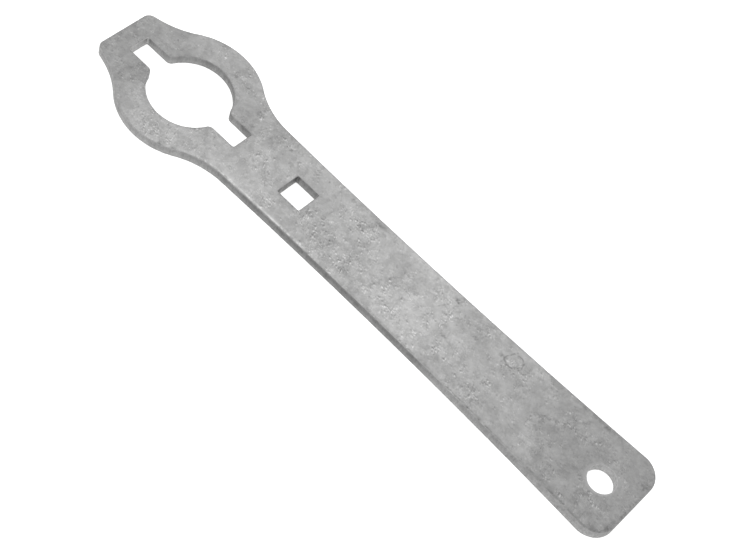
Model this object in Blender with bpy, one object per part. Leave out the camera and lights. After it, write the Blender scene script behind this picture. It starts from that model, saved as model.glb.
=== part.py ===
"""A flat slotted spanner: one steel plate with a round slotted opening, a drive hole and a hang hole.

The plate lies on Z = 0 with its long axis on X, the head towards -X and the handle towards +X.
The origin is at the middle of its length and width. It is the same on both sides of the X axis.
"""

from math import acos, atan2, ceil, cos, pi, radians, sin, sqrt, tan

import bpy
from mathutils import Vector

MM = 0.001
OBJECT_NAME = "slotted_spanner"

# The whole plate
OVERALL_LENGTH = 305.0 * MM
PLATE_THICKNESS = 4.8 * MM
EDGE_ROUNDING = 0.6 * MM

# The head: a round eye whose front runs out into a blunt tip
HEAD_DIAMETER = 66.8 * MM
TIP_PROJECTION = 10.1 * MM
TIP_WIDTH = 30.9 * MM
TIP_CORNER_RADIUS = 3.8 * MM
FLANK_ANGLE = radians(15.0)
FLANK_STRAIGHT = 3.0 * MM

# The round opening, with one slot towards the tip and one towards the handle
OPENING_DIAMETER = 39.2 * MM
SLOT_WIDTH = 11.3 * MM
SLOT_SPAN = 66.5 * MM
SLOT_CORNER_RADIUS = 0.8 * MM
SLOT_MOUTH_RADIUS = 3.0 * MM

# The neck and the handle, whose sides are shallow arcs that are closest at the waist
NECK_RADIUS = 40.4 * MM
WAIST_FROM_OPENING = 107.5 * MM
WAIST_WIDTH = 38.8 * MM
HANDLE_FLARE = 4.15 * MM
END_CORNER_RADIUS = 10.5 * MM

# The square hole for a ratchet's half-inch drive
DRIVE_SQUARE = 12.7 * MM
DRIVE_CLEARANCE = 0.1 * MM
DRIVE_CORNER_RADIUS = 0.5 * MM
DRIVE_FROM_OPENING = 68.0 * MM

# The round hole for hanging
HANG_HOLE_DIAMETER = 12.9 * MM
HANG_HOLE_FROM_END = 17.0 * MM

# How far a flat facet may lie from the true arc, and the facets round each edge
ARC_TOLERANCE = 0.02 * MM
EDGE_FACETS = 2

# Grey tumbled zinc
STEEL_COLOUR = (0.40, 0.40, 0.395, 1.0)
STEEL_METALLIC = 0.85
STEEL_ROUGHNESS = 0.5

# Places that follow from the sizes above
TIP_X = -OVERALL_LENGTH / 2
END_X = OVERALL_LENGTH / 2
HEAD_RADIUS = HEAD_DIAMETER / 2
HEAD_CENTRE = Vector((TIP_X + TIP_PROJECTION + HEAD_RADIUS, 0.0))
WAIST_X = HEAD_CENTRE.x + WAIST_FROM_OPENING
DRIVE_CENTRE = HEAD_CENTRE + Vector((DRIVE_FROM_OPENING, 0.0))
HANG_HOLE_CENTRE = Vector((END_X - HANG_HOLE_FROM_END, 0.0))


def direction(angle):
    """The unit vector at an angle from +X."""
    return Vector((cos(angle), sin(angle)))


def bearing(start, end):
    """The angle from +X of the line from one point to another."""
    return atan2(end.y - start.y, end.x - start.x)


def arc(centre, radius, start, end):
    """Points along an arc from one angle to another, both ends included."""
    widest_step = 2 * acos(1 - ARC_TOLERANCE / radius)
    count = ceil(abs(end - start) / widest_step)
    step = (end - start) / count
    return [centre + radius * direction(start + step * i) for i in range(count + 1)]


def joined(*stretches):
    """The stretches end to end, with each shared end point kept once."""
    points = list(stretches[0])
    for stretch in stretches[1:]:
        repeated = (stretch[0] - points[-1]).length < ARC_TOLERANCE / 2
        points += stretch[1:] if repeated else stretch
    return points


def mirrored_loop(half, across_x_at=None):
    """The half outline closed by its mirror image, over the X axis or over a line x = across_x_at."""
    if across_x_at is None:
        other_half = [Vector((point.x, -point.y)) for point in reversed(half)]
    else:
        other_half = [Vector((2 * across_x_at - point.x, point.y)) for point in reversed(half)]
    return joined(half, other_half)


def circles_meet(first_centre, first_radius, second_centre, second_radius):
    """Where two circles cross, on the right-hand side of the line from the first centre to the second."""
    between = second_centre - first_centre
    along = (first_radius**2 - second_radius**2 + between.length_squared) / (2 * between.length)
    across = sqrt(first_radius**2 - along**2)
    forward = between.normalized()
    rightward = Vector((forward.y, -forward.x))
    return first_centre + along * forward + across * rightward


def tip_and_flank():
    """The tip's rounded corner, the straight flank behind it and the hollow arc that runs into the head.

    Returns the points and the angle about the head's centre where the head's own arc begins.
    """
    flank = direction(FLANK_ANGLE)
    outward = direction(FLANK_ANGLE + pi / 2)
    sharp_corner = Vector((TIP_X, TIP_WIDTH / 2))
    corner_length = TIP_CORNER_RADIUS * tan((pi / 2 - FLANK_ANGLE) / 2)
    corner_centre = sharp_corner + Vector((TIP_CORNER_RADIUS, -corner_length))
    corner = arc(corner_centre, TIP_CORNER_RADIUS, pi, FLANK_ANGLE + pi / 2)

    flank_end = sharp_corner + flank * (corner_length + FLANK_STRAIGHT)
    from_head = flank_end - HEAD_CENTRE
    hollow_radius = (from_head.length_squared - HEAD_RADIUS**2) / (2 * (HEAD_RADIUS - from_head.dot(outward)))
    hollow_centre = flank_end + outward * hollow_radius
    hollow = arc(hollow_centre, hollow_radius, FLANK_ANGLE - pi / 2, bearing(hollow_centre, HEAD_CENTRE))
    return joined(corner, hollow), bearing(HEAD_CENTRE, hollow_centre)


def neck_and_handle():
    """The neck's hollow fillet, the handle's shallow side and the rounded corner at its end.

    Returns the points and the angle about the head's centre where the head's own arc ends.
    """
    waist_to_end = END_X - WAIST_X
    side_radius = (waist_to_end**2 + HANDLE_FLARE**2) / (2 * HANDLE_FLARE)
    side_centre = Vector((WAIST_X, WAIST_WIDTH / 2 + side_radius))
    neck_centre = circles_meet(HEAD_CENTRE, HEAD_RADIUS + NECK_RADIUS, side_centre, side_radius - NECK_RADIUS)
    neck = arc(neck_centre, NECK_RADIUS, bearing(neck_centre, HEAD_CENTRE), bearing(side_centre, neck_centre))

    corner_x = END_X - END_CORNER_RADIUS
    corner_drop = sqrt((side_radius + END_CORNER_RADIUS) ** 2 - (corner_x - WAIST_X) ** 2)
    corner_centre = Vector((corner_x, side_centre.y - corner_drop))
    side = arc(side_centre, side_radius, bearing(side_centre, neck_centre), bearing(side_centre, corner_centre))
    corner = arc(corner_centre, END_CORNER_RADIUS, bearing(corner_centre, side_centre), 0.0)
    return joined(neck, side, corner), bearing(HEAD_CENTRE, neck_centre)


def plate_outline():
    """The plate's outer edge."""
    front, head_start = tip_and_flank()
    back, head_end = neck_and_handle()
    return mirrored_loop(joined(front, arc(HEAD_CENTRE, HEAD_RADIUS, head_start, head_end), back))


def slotted_opening():
    """The head's round opening with its two slots, whose mouths are rounded into the circle."""
    opening_radius = OPENING_DIAMETER / 2
    corner_offset = Vector((SLOT_CORNER_RADIUS - SLOT_SPAN / 2, SLOT_WIDTH / 2 - SLOT_CORNER_RADIUS))
    mouth_y = SLOT_WIDTH / 2 + SLOT_MOUTH_RADIUS
    mouth_x = -sqrt((opening_radius + SLOT_MOUTH_RADIUS) ** 2 - mouth_y**2)
    mouth_centre = HEAD_CENTRE + Vector((mouth_x, mouth_y))
    quarter = joined(
        arc(HEAD_CENTRE + corner_offset, SLOT_CORNER_RADIUS, pi, pi / 2),
        arc(mouth_centre, SLOT_MOUTH_RADIUS, -pi / 2, bearing(mouth_centre, HEAD_CENTRE)),
        arc(HEAD_CENTRE, opening_radius, bearing(HEAD_CENTRE, mouth_centre), pi / 2),
    )
    return mirrored_loop(mirrored_loop(quarter, across_x_at=HEAD_CENTRE.x))


def drive_hole():
    """The square hole, a clearance wider than the drive it takes, with rounded corners."""
    corner_reach = (DRIVE_SQUARE + DRIVE_CLEARANCE) / 2 - DRIVE_CORNER_RADIUS
    corners = []
    for quadrant in range(4):
        start = quadrant * pi / 2
        corner_centre = DRIVE_CENTRE + sqrt(2) * corner_reach * direction(start + pi / 4)
        corners.append(arc(corner_centre, DRIVE_CORNER_RADIUS, start, start + pi / 2))
    return joined(*corners)


def hang_hole():
    """The round hole near the handle's end."""
    return arc(HANG_HOLE_CENTRE, HANG_HOLE_DIAMETER / 2, 0.0, 2 * pi)[:-1]


def add_loop(curve, points):
    """Adds one closed outline to a flat curve. An outline inside another is a hole."""
    spline = curve.splines.new("POLY")
    spline.points.add(len(points) - 1)
    for spline_point, point in zip(spline.points, points):
        spline_point.co = (point.x, point.y, 0.0, 1.0)
    spline.use_cyclic_u = True


def steel():
    """Grey zinc-coated steel."""
    material = bpy.data.materials.new("tumbled_zinc_steel")
    material.use_nodes = True
    shader = material.node_tree.nodes["Principled BSDF"]
    shader.inputs["Base Color"].default_value = STEEL_COLOUR
    shader.inputs["Metallic"].default_value = STEEL_METALLIC
    shader.inputs["Roughness"].default_value = STEEL_ROUGHNESS
    return material


def make_spanner_plate(collection):
    """The plate: a filled outline with holes, given its thickness and its rounded edges."""
    curve = bpy.data.curves.new("spanner_plate", "CURVE")
    curve.dimensions = "2D"
    curve.fill_mode = "BOTH"
    curve.extrude = PLATE_THICKNESS / 2 - EDGE_ROUNDING
    curve.bevel_depth = EDGE_ROUNDING
    curve.bevel_resolution = EDGE_FACETS - 1
    curve.offset = -EDGE_ROUNDING
    for outline in (plate_outline(), slotted_opening(), drive_hole(), hang_hole()):
        add_loop(curve, outline)
    curve.materials.append(steel())
    plate = bpy.data.objects.new("spanner_plate", curve)
    plate.location.z = PLATE_THICKNESS / 2
    collection.objects.link(plate)


def main():
    for old_object in list(bpy.data.objects):
        bpy.data.objects.remove(old_object)
    collection = bpy.data.collections.new(OBJECT_NAME)
    bpy.context.scene.collection.children.link(collection)
    make_spanner_plate(collection)


main()
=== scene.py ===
"""The looks of a flat slotted spanner: one tumbled, zinc-plated steel plate on a plain pale studio floor.

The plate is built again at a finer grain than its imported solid, on the same sizes and in the same place:
its faces are slightly wavy and dented, its cut walls have a break line and its rims are rounded and nicked.
Lengths are in metres unless a name says millimetres.
"""

from __future__ import annotations

import logging
from dataclasses import dataclass, field
from enum import Enum
from math import acos, atan2, ceil, cos, pi, radians, sin, sqrt, tan
from typing import Any

import bpy
import numpy as np
from mathutils import Matrix, Vector, kdtree, noise
from mathutils.geometry import delaunay_2d_cdt

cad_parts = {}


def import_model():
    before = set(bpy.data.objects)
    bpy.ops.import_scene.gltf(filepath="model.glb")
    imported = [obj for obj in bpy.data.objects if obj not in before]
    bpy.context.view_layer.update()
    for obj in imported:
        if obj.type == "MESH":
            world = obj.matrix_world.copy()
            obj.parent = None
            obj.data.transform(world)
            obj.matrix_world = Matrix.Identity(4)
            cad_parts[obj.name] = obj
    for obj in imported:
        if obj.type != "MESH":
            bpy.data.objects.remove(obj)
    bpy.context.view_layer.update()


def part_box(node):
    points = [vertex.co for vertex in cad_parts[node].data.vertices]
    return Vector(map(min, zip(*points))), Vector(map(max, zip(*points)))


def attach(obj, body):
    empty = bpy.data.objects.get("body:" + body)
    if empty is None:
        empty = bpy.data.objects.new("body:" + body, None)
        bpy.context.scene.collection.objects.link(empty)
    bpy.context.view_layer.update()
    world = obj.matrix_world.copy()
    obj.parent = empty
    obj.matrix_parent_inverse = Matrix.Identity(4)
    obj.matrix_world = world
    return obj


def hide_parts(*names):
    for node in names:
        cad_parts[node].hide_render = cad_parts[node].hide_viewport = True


MM = 0.001
PLATE_NODE = "spanner_plate"
ROOT_BODY = "root"
LOG = logging.getLogger("slotted_spanner")


class Face(Enum):
    """The two flat faces of the plate, with the sign of the way each one looks."""

    TOP = 1
    UNDERSIDE = -1


class Trace(Enum):
    """What the mesh tells the finishes about each of its points, by attribute name."""

    # rubbed wear on the rims, with a painted highlight on their rounding
    RIM = "rim_burnish"
    # painted light and shade of the cut walls and their rims
    WALL_TONE = "wall_tone"
    # painted shade in the walls' tight inner corners
    GRIME = "corner_grime"
    # the countersink, whose ring is burnished and carries the painted light of its slope
    COUNTERSINK = "countersink"
    # placed lighter and darker patches, with painted highlights and shade along the edges
    LIGHTER = "lighter_patches"
    STAIN = "stains"
    FLECKED = "flecked_patches"


# ---------------------------------------------------------------- flat outlines


def direction(angle: float) -> Vector:
    """The flat unit vector at an angle from +X."""
    return Vector((cos(angle), sin(angle)))


def bearing(start: Vector, end: Vector) -> float:
    """The angle from +X of the line from one point to another."""
    return atan2(end.y - start.y, end.x - start.x)


def arc(centre: Vector, radius: float, start: float, end: float) -> list[Vector]:
    """Points along an arc from one angle to another, both ends included.

    Args:
        centre: The arc's centre.
        radius: Its radius.
        start: The angle of its first point.
        end: The angle of its last point.

    Returns:
        Points so close that the chords leave the arc by a thousandth of a millimetre at most.
    """
    widest_step = 2 * acos(1 - 0.001 * MM / radius)
    count = ceil(abs(end - start) / widest_step)
    return [centre + radius * direction(start + (end - start) * i / count) for i in range(count + 1)]


def joined(*stretches: list[Vector]) -> list[Vector]:
    """The stretches end to end, with each shared end point kept once.

    Args:
        stretches: Stretches of points, in order.

    Returns:
        The points of the whole line.
    """
    points = list(stretches[0])
    for stretch in stretches[1:]:
        repeated = (stretch[0] - points[-1]).length < 0.001 * MM
        points += stretch[1:] if repeated else stretch
    return points


def mirrored_loop(half: list[Vector], across_x_at: float | None = None) -> list[Vector]:
    """A half outline closed by its mirror image.

    Args:
        half: The points of the half outline.
        across_x_at: The x of the mirror line, or None to mirror over the X axis.

    Returns:
        The points of the whole outline.
    """
    if across_x_at is None:
        other_half = [Vector((point.x, -point.y)) for point in reversed(half)]
    else:
        other_half = [Vector((2 * across_x_at - point.x, point.y)) for point in reversed(half)]
    return joined(half, other_half)


def circles_meet(first: Vector, first_radius: float, second: Vector, second_radius: float) -> Vector:
    """Where two circles cross, on the right-hand side of the line from the first centre to the second.

    Args:
        first: The first centre.
        first_radius: Its circle's radius.
        second: The second centre.
        second_radius: Its circle's radius.

    Returns:
        The point.
    """
    between = second - first
    along = (first_radius**2 - second_radius**2 + between.length_squared) / (2 * between.length)
    across = sqrt(first_radius**2 - along**2)
    forward = between.normalized()
    return first + along * forward + across * Vector((forward.y, -forward.x))


def inside(points: np.ndarray, loops: list[np.ndarray]) -> np.ndarray:
    """Which flat points lie in the metal between the loops, by the even-odd rule.

    Args:
        points: Flat points, one a row.
        loops: The closed loops that bound the metal.

    Returns:
        One truth value for each point.
    """
    x, y = points[:, 0], points[:, 1]
    found = np.zeros(len(points), bool)
    for loop in loops:
        for (x1, y1), (x2, y2) in zip(loop, np.roll(loop, -1, axis=0)):
            if y1 == y2:
                continue
            crossing = (y1 > y) != (y2 > y)
            found ^= crossing & (x < x1 + (y - y1) * (x2 - x1) / (y2 - y1))
    return found


@dataclass(frozen=True)
class EdgeLoop:
    """One closed cut edge of the plate, walked with the metal on its left.

    Attributes:
        name: What the edge bounds.
        points: Evenly spaced flat points.
        outward: The flat unit vector away from the metal at each point.
        travelled: How far along the loop each point is.
        tone: The painted light and shade of its wall and rims.
        grime: Painted shade in the wall's tight inner corners at each point, from 0 to 1.
    """

    name: str
    points: np.ndarray
    outward: np.ndarray
    travelled: np.ndarray
    tone: PaintedWallShading
    grime: np.ndarray

    @classmethod
    def along(
        cls, name: str, outline: list[Vector], spacing: float, hole: bool, tone: PaintedWallShading
    ) -> EdgeLoop:
        """Spaces points evenly round an outline and finds the way out of the metal at each.

        Args:
            name: What the edge bounds.
            outline: The outline's points, in either direction.
            spacing: The widest gap between two points of the loop.
            hole: Whether the metal is outside the outline.
            tone: The painted light and shade of its wall and rims.

        Returns:
            The loop.
        """
        corners = np.array([[point.x, point.y] for point in outline])
        following = np.roll(corners, -1, axis=0)
        twice_area = (corners[:, 0] * following[:, 1] - following[:, 0] * corners[:, 1]).sum()
        if (twice_area > 0) == hole:
            corners = corners[::-1]
        closed = np.vstack([corners, corners[:1]])
        lengths = np.hypot(*np.diff(closed, axis=0).T)
        reached = np.concatenate([[0.0], np.cumsum(lengths)])
        count = ceil(reached[-1] / spacing)
        travelled = reached[-1] * np.arange(count) / count
        points = np.stack([np.interp(travelled, reached, closed[:, axis]) for axis in (0, 1)], axis=1)
        tangent = np.roll(points, -1, axis=0) - np.roll(points, 1, axis=0)
        tangent /= np.linalg.norm(tangent, axis=1, keepdims=True)
        outward = np.stack([tangent[:, 1], -tangent[:, 0]], axis=1)
        grime = cls._grime(points, outward, tone.corner_shading_before * MM)
        return cls(name, points, outward, travelled, tone, grime)

    @staticmethod
    def _grime(points: np.ndarray, outward: np.ndarray, before: float) -> np.ndarray:
        """The painted shade that darkens tight inner corners, where the wall turns quickly.

        Args:
            points: The loop's points.
            outward: The way out of the metal at each point.
            before: Corners further along the plate than this get no painted shade.

        Returns:
            The painted shade at each point, from 0 to 1.
        """
        tight_radius, reach, deepest = 0.7 * MM, 0.8 * MM, 0.4
        bend = np.linalg.norm(np.roll(outward, -1, axis=0) - np.roll(outward, 1, axis=0), axis=1)
        gap = np.linalg.norm(np.roll(points, -1, axis=0) - np.roll(points, 1, axis=0), axis=1)
        corners = points[(bend / gap > 1 / tight_radius) & (points[:, 0] < before)]
        if not len(corners):
            return np.zeros(len(points))
        apart = np.linalg.norm(points[:, None, :] - corners[None, :, :], axis=2).min(axis=1)
        return deepest * np.exp(-((apart / reach) ** 2))


@dataclass(frozen=True)
class PaintedWallShading:
    """Painted light and shade on a cut wall and its rims along the plate, from 0, dark, to 1, light.

    Attributes:
        places: Places along the plate in millimetres, rising.
        rims: The painted lightness of the rims at each place.
        walls: The mean painted lightness of the wall at each place.
        corner_shading_before: Painted shade darkens the wall's tight corners before this place.
        lower_gain: How much lighter, as painted light, a dark wall's foot is than its head.
        mean_at: How far down the wall its lightness is its mean.
        torn_band: How much lighter the torn band above the wall's foot is.
        torn_middle: How far down the wall the middle of that band is.
        torn_reach: How far it reaches each way.
        rim_ends: How far down the top rim's own lightness ends and that of the underside's rim begins.
        rim_fade: How far a rim's lightness takes to fade into the wall's.
    """

    places: tuple[float, ...]
    rims: tuple[float, ...]
    walls: tuple[float, ...]
    corner_shading_before: float = -1000.0
    lower_gain: float = 0.5
    mean_at: float = 0.45
    torn_band: float = 0.07
    torn_middle: float = 0.68
    torn_reach: float = 0.13
    rim_ends: tuple[float, float] = (0.07, 0.99)
    rim_fade: float = 0.1

    def at(self, x: np.ndarray, down: float) -> np.ndarray:
        """The painted lightness at each x.

        Args:
            x: Places along the plate, in metres.
            down: How far down the wall, from 0 at the top face to 1 at the underside.

        Returns:
            One lightness for each place.
        """
        upper_end, lower_start = self.rim_ends
        rim = np.interp(x / MM, self.places, self.rims)
        middle = np.interp(x / MM, self.places, self.walls)
        wall = middle + self.lower_gain * (1 - middle) * (down - self.mean_at)
        wall += self.torn_band * np.exp(-(((down - self.torn_middle) / self.torn_reach) ** 2))
        below_top = max((down - upper_end) / self.rim_fade, 0.0)
        above_foot = max((lower_start - down) / self.rim_fade, 0.0)
        return np.clip(rim + (wall - rim) * min(below_top, above_foot, 1.0), 0, 1)


@dataclass(frozen=True)
class SpannerOutline:
    """The flat shape of the spanner: its driving sizes, and the outlines that follow from them.

    Attributes:
        length: The length over all.
        head_diameter: The width over the round head.
        tip_projection: How far the blunt tip stands out past the head's circle.
        tip_width: The width of the tip, before its corners are rounded.
        tip_corner_radius: The radius of those corners.
        flank_angle: The angle at which the flanks widen behind the tip.
        flank_straight: How much of a flank is straight.
        opening_diameter: The diameter of the round opening.
        slot_width: The width of its two slots.
        slot_span: The distance between the slots' far ends.
        slot_corner_radius: The radius of the slots' corners.
        slot_mouth_radius: The radius of their mouths.
        neck_radius: The radius of the hollow behind the head.
        waist_from_opening: How far the narrowest place is from the opening's middle.
        waist_width: The width there.
        handle_flare: How far each side widens from there to the handle's end.
        end_corner_radius: The radius of the corners at the end.
        drive_square: The width of the square hole.
        drive_corner_radius: The radius of its corners.
        drive_from_opening: How far its middle is from the opening's middle.
        hang_hole_diameter: The diameter of the hang hole.
        hang_hole_from_end: How far its middle is from the handle's end.
    """

    length: float
    head_diameter: float
    tip_projection: float = 10.1 * MM
    tip_width: float = 30.9 * MM
    tip_corner_radius: float = 3.8 * MM
    flank_angle: float = radians(15.0)
    flank_straight: float = 3.0 * MM
    opening_diameter: float = 39.2 * MM
    slot_width: float = 11.3 * MM
    slot_span: float = 66.5 * MM
    slot_corner_radius: float = 0.8 * MM
    slot_mouth_radius: float = 3.0 * MM
    neck_radius: float = 40.4 * MM
    waist_from_opening: float = 107.5 * MM
    waist_width: float = 38.8 * MM
    handle_flare: float = 4.15 * MM
    end_corner_radius: float = 10.5 * MM
    drive_square: float = 12.8 * MM
    drive_corner_radius: float = 0.5 * MM
    drive_from_opening: float = 68.0 * MM
    hang_hole_diameter: float = 12.9 * MM
    hang_hole_from_end: float = 17.0 * MM

    @property
    def tip_x(self) -> float:
        """The x of the blunt tip."""
        return -self.length / 2

    @property
    def end_x(self) -> float:
        """The x of the handle's end."""
        return self.length / 2

    @property
    def head_centre(self) -> Vector:
        """The middle of the round opening and of the head."""
        return Vector((self.tip_x + self.tip_projection + self.head_diameter / 2, 0.0))

    @property
    def waist_x(self) -> float:
        """The x at which the handle is narrowest."""
        return self.head_centre.x + self.waist_from_opening

    @property
    def drive_centre(self) -> Vector:
        """The middle of the square drive hole."""
        return self.head_centre + Vector((self.drive_from_opening, 0.0))

    @property
    def hang_hole_centre(self) -> Vector:
        """The middle of the hang hole."""
        return Vector((self.end_x - self.hang_hole_from_end, 0.0))

    def tip_and_flank(self) -> tuple[list[Vector], float]:
        """The tip's rounded corner, the straight flank behind it and the hollow that runs into the head.

        Returns:
            The points, and the angle about the head's centre where the head's own arc begins.
        """
        head_radius = self.head_diameter / 2
        outward = direction(self.flank_angle + pi / 2)
        sharp_corner = Vector((self.tip_x, self.tip_width / 2))
        corner_length = self.tip_corner_radius * tan((pi / 2 - self.flank_angle) / 2)
        corner_centre = sharp_corner + Vector((self.tip_corner_radius, -corner_length))
        corner = arc(corner_centre, self.tip_corner_radius, pi, self.flank_angle + pi / 2)
        flank_end = sharp_corner + direction(self.flank_angle) * (corner_length + self.flank_straight)
        from_head = flank_end - self.head_centre
        reach = head_radius - from_head.dot(outward)
        hollow_radius = (from_head.length_squared - head_radius**2) / (2 * reach)
        hollow_centre = flank_end + outward * hollow_radius
        last_angle = bearing(hollow_centre, self.head_centre)
        hollow = arc(hollow_centre, hollow_radius, self.flank_angle - pi / 2, last_angle)
        return joined(corner, hollow), bearing(self.head_centre, hollow_centre)

    def neck_and_handle(self) -> tuple[list[Vector], float]:
        """The neck's hollow, the handle's shallow side and the rounded corner at its end.

        Returns:
            The points, and the angle about the head's centre where the head's own arc ends.
        """
        waist_to_end = self.end_x - self.waist_x
        side_radius = (waist_to_end**2 + self.handle_flare**2) / (2 * self.handle_flare)
        side_centre = Vector((self.waist_x, self.waist_width / 2 + side_radius))
        neck_reach = self.head_diameter / 2 + self.neck_radius
        neck_centre = circles_meet(
            self.head_centre, neck_reach, side_centre, side_radius - self.neck_radius
        )
        neck_start = bearing(neck_centre, self.head_centre)
        neck = arc(neck_centre, self.neck_radius, neck_start, bearing(side_centre, neck_centre))
        corner_x = self.end_x - self.end_corner_radius
        corner_drop = sqrt((side_radius + self.end_corner_radius) ** 2 - (corner_x - self.waist_x) ** 2)
        corner_centre = Vector((corner_x, side_centre.y - corner_drop))
        side_end = bearing(side_centre, corner_centre)
        side = arc(side_centre, side_radius, bearing(side_centre, neck_centre), side_end)
        corner_start = bearing(corner_centre, side_centre)
        corner = arc(corner_centre, self.end_corner_radius, corner_start, 0.0)
        return joined(neck, side, corner), bearing(self.head_centre, neck_centre)

    def plate_edge(self) -> list[Vector]:
        """The plate's outer edge.

        Returns:
            The points of the closed outline.
        """
        front, head_start = self.tip_and_flank()
        back, head_end = self.neck_and_handle()
        head = arc(self.head_centre, self.head_diameter / 2, head_start, head_end)
        return mirrored_loop(joined(front, head, back))

    def slotted_opening(self) -> list[Vector]:
        """The round opening with its two slots, whose mouths are rounded into the circle.

        Returns:
            The points of the closed outline.
        """
        opening_radius = self.opening_diameter / 2
        corner_offset = Vector(
            (
                self.slot_corner_radius - self.slot_span / 2,
                self.slot_width / 2 - self.slot_corner_radius,
            )
        )
        mouth_y = self.slot_width / 2 + self.slot_mouth_radius
        mouth_x = -sqrt((opening_radius + self.slot_mouth_radius) ** 2 - mouth_y**2)
        mouth_centre = self.head_centre + Vector((mouth_x, mouth_y))
        mouth_end = bearing(mouth_centre, self.head_centre)
        quarter = joined(
            arc(self.head_centre + corner_offset, self.slot_corner_radius, pi, pi / 2),
            arc(mouth_centre, self.slot_mouth_radius, -pi / 2, mouth_end),
            arc(self.head_centre, opening_radius, bearing(self.head_centre, mouth_centre), pi / 2),
        )
        return mirrored_loop(mirrored_loop(quarter, across_x_at=self.head_centre.x))

    def drive_hole(self) -> list[Vector]:
        """The square drive hole with its rounded corners.

        Returns:
            The points of the closed outline.
        """
        corner_reach = self.drive_square / 2 - self.drive_corner_radius
        corners = []
        for quadrant in range(4):
            start = quadrant * pi / 2
            centre = self.drive_centre + sqrt(2) * corner_reach * direction(start + pi / 4)
            corners.append(arc(centre, self.drive_corner_radius, start, start + pi / 2))
        return joined(*corners)

    def hang_hole(self) -> list[Vector]:
        """The round hole near the handle's end."""
        return arc(self.hang_hole_centre, self.hang_hole_diameter / 2, 0.0, 2 * pi)[:-1]


# ---------------------------------------------------------------- the plate's small unevenness


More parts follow.
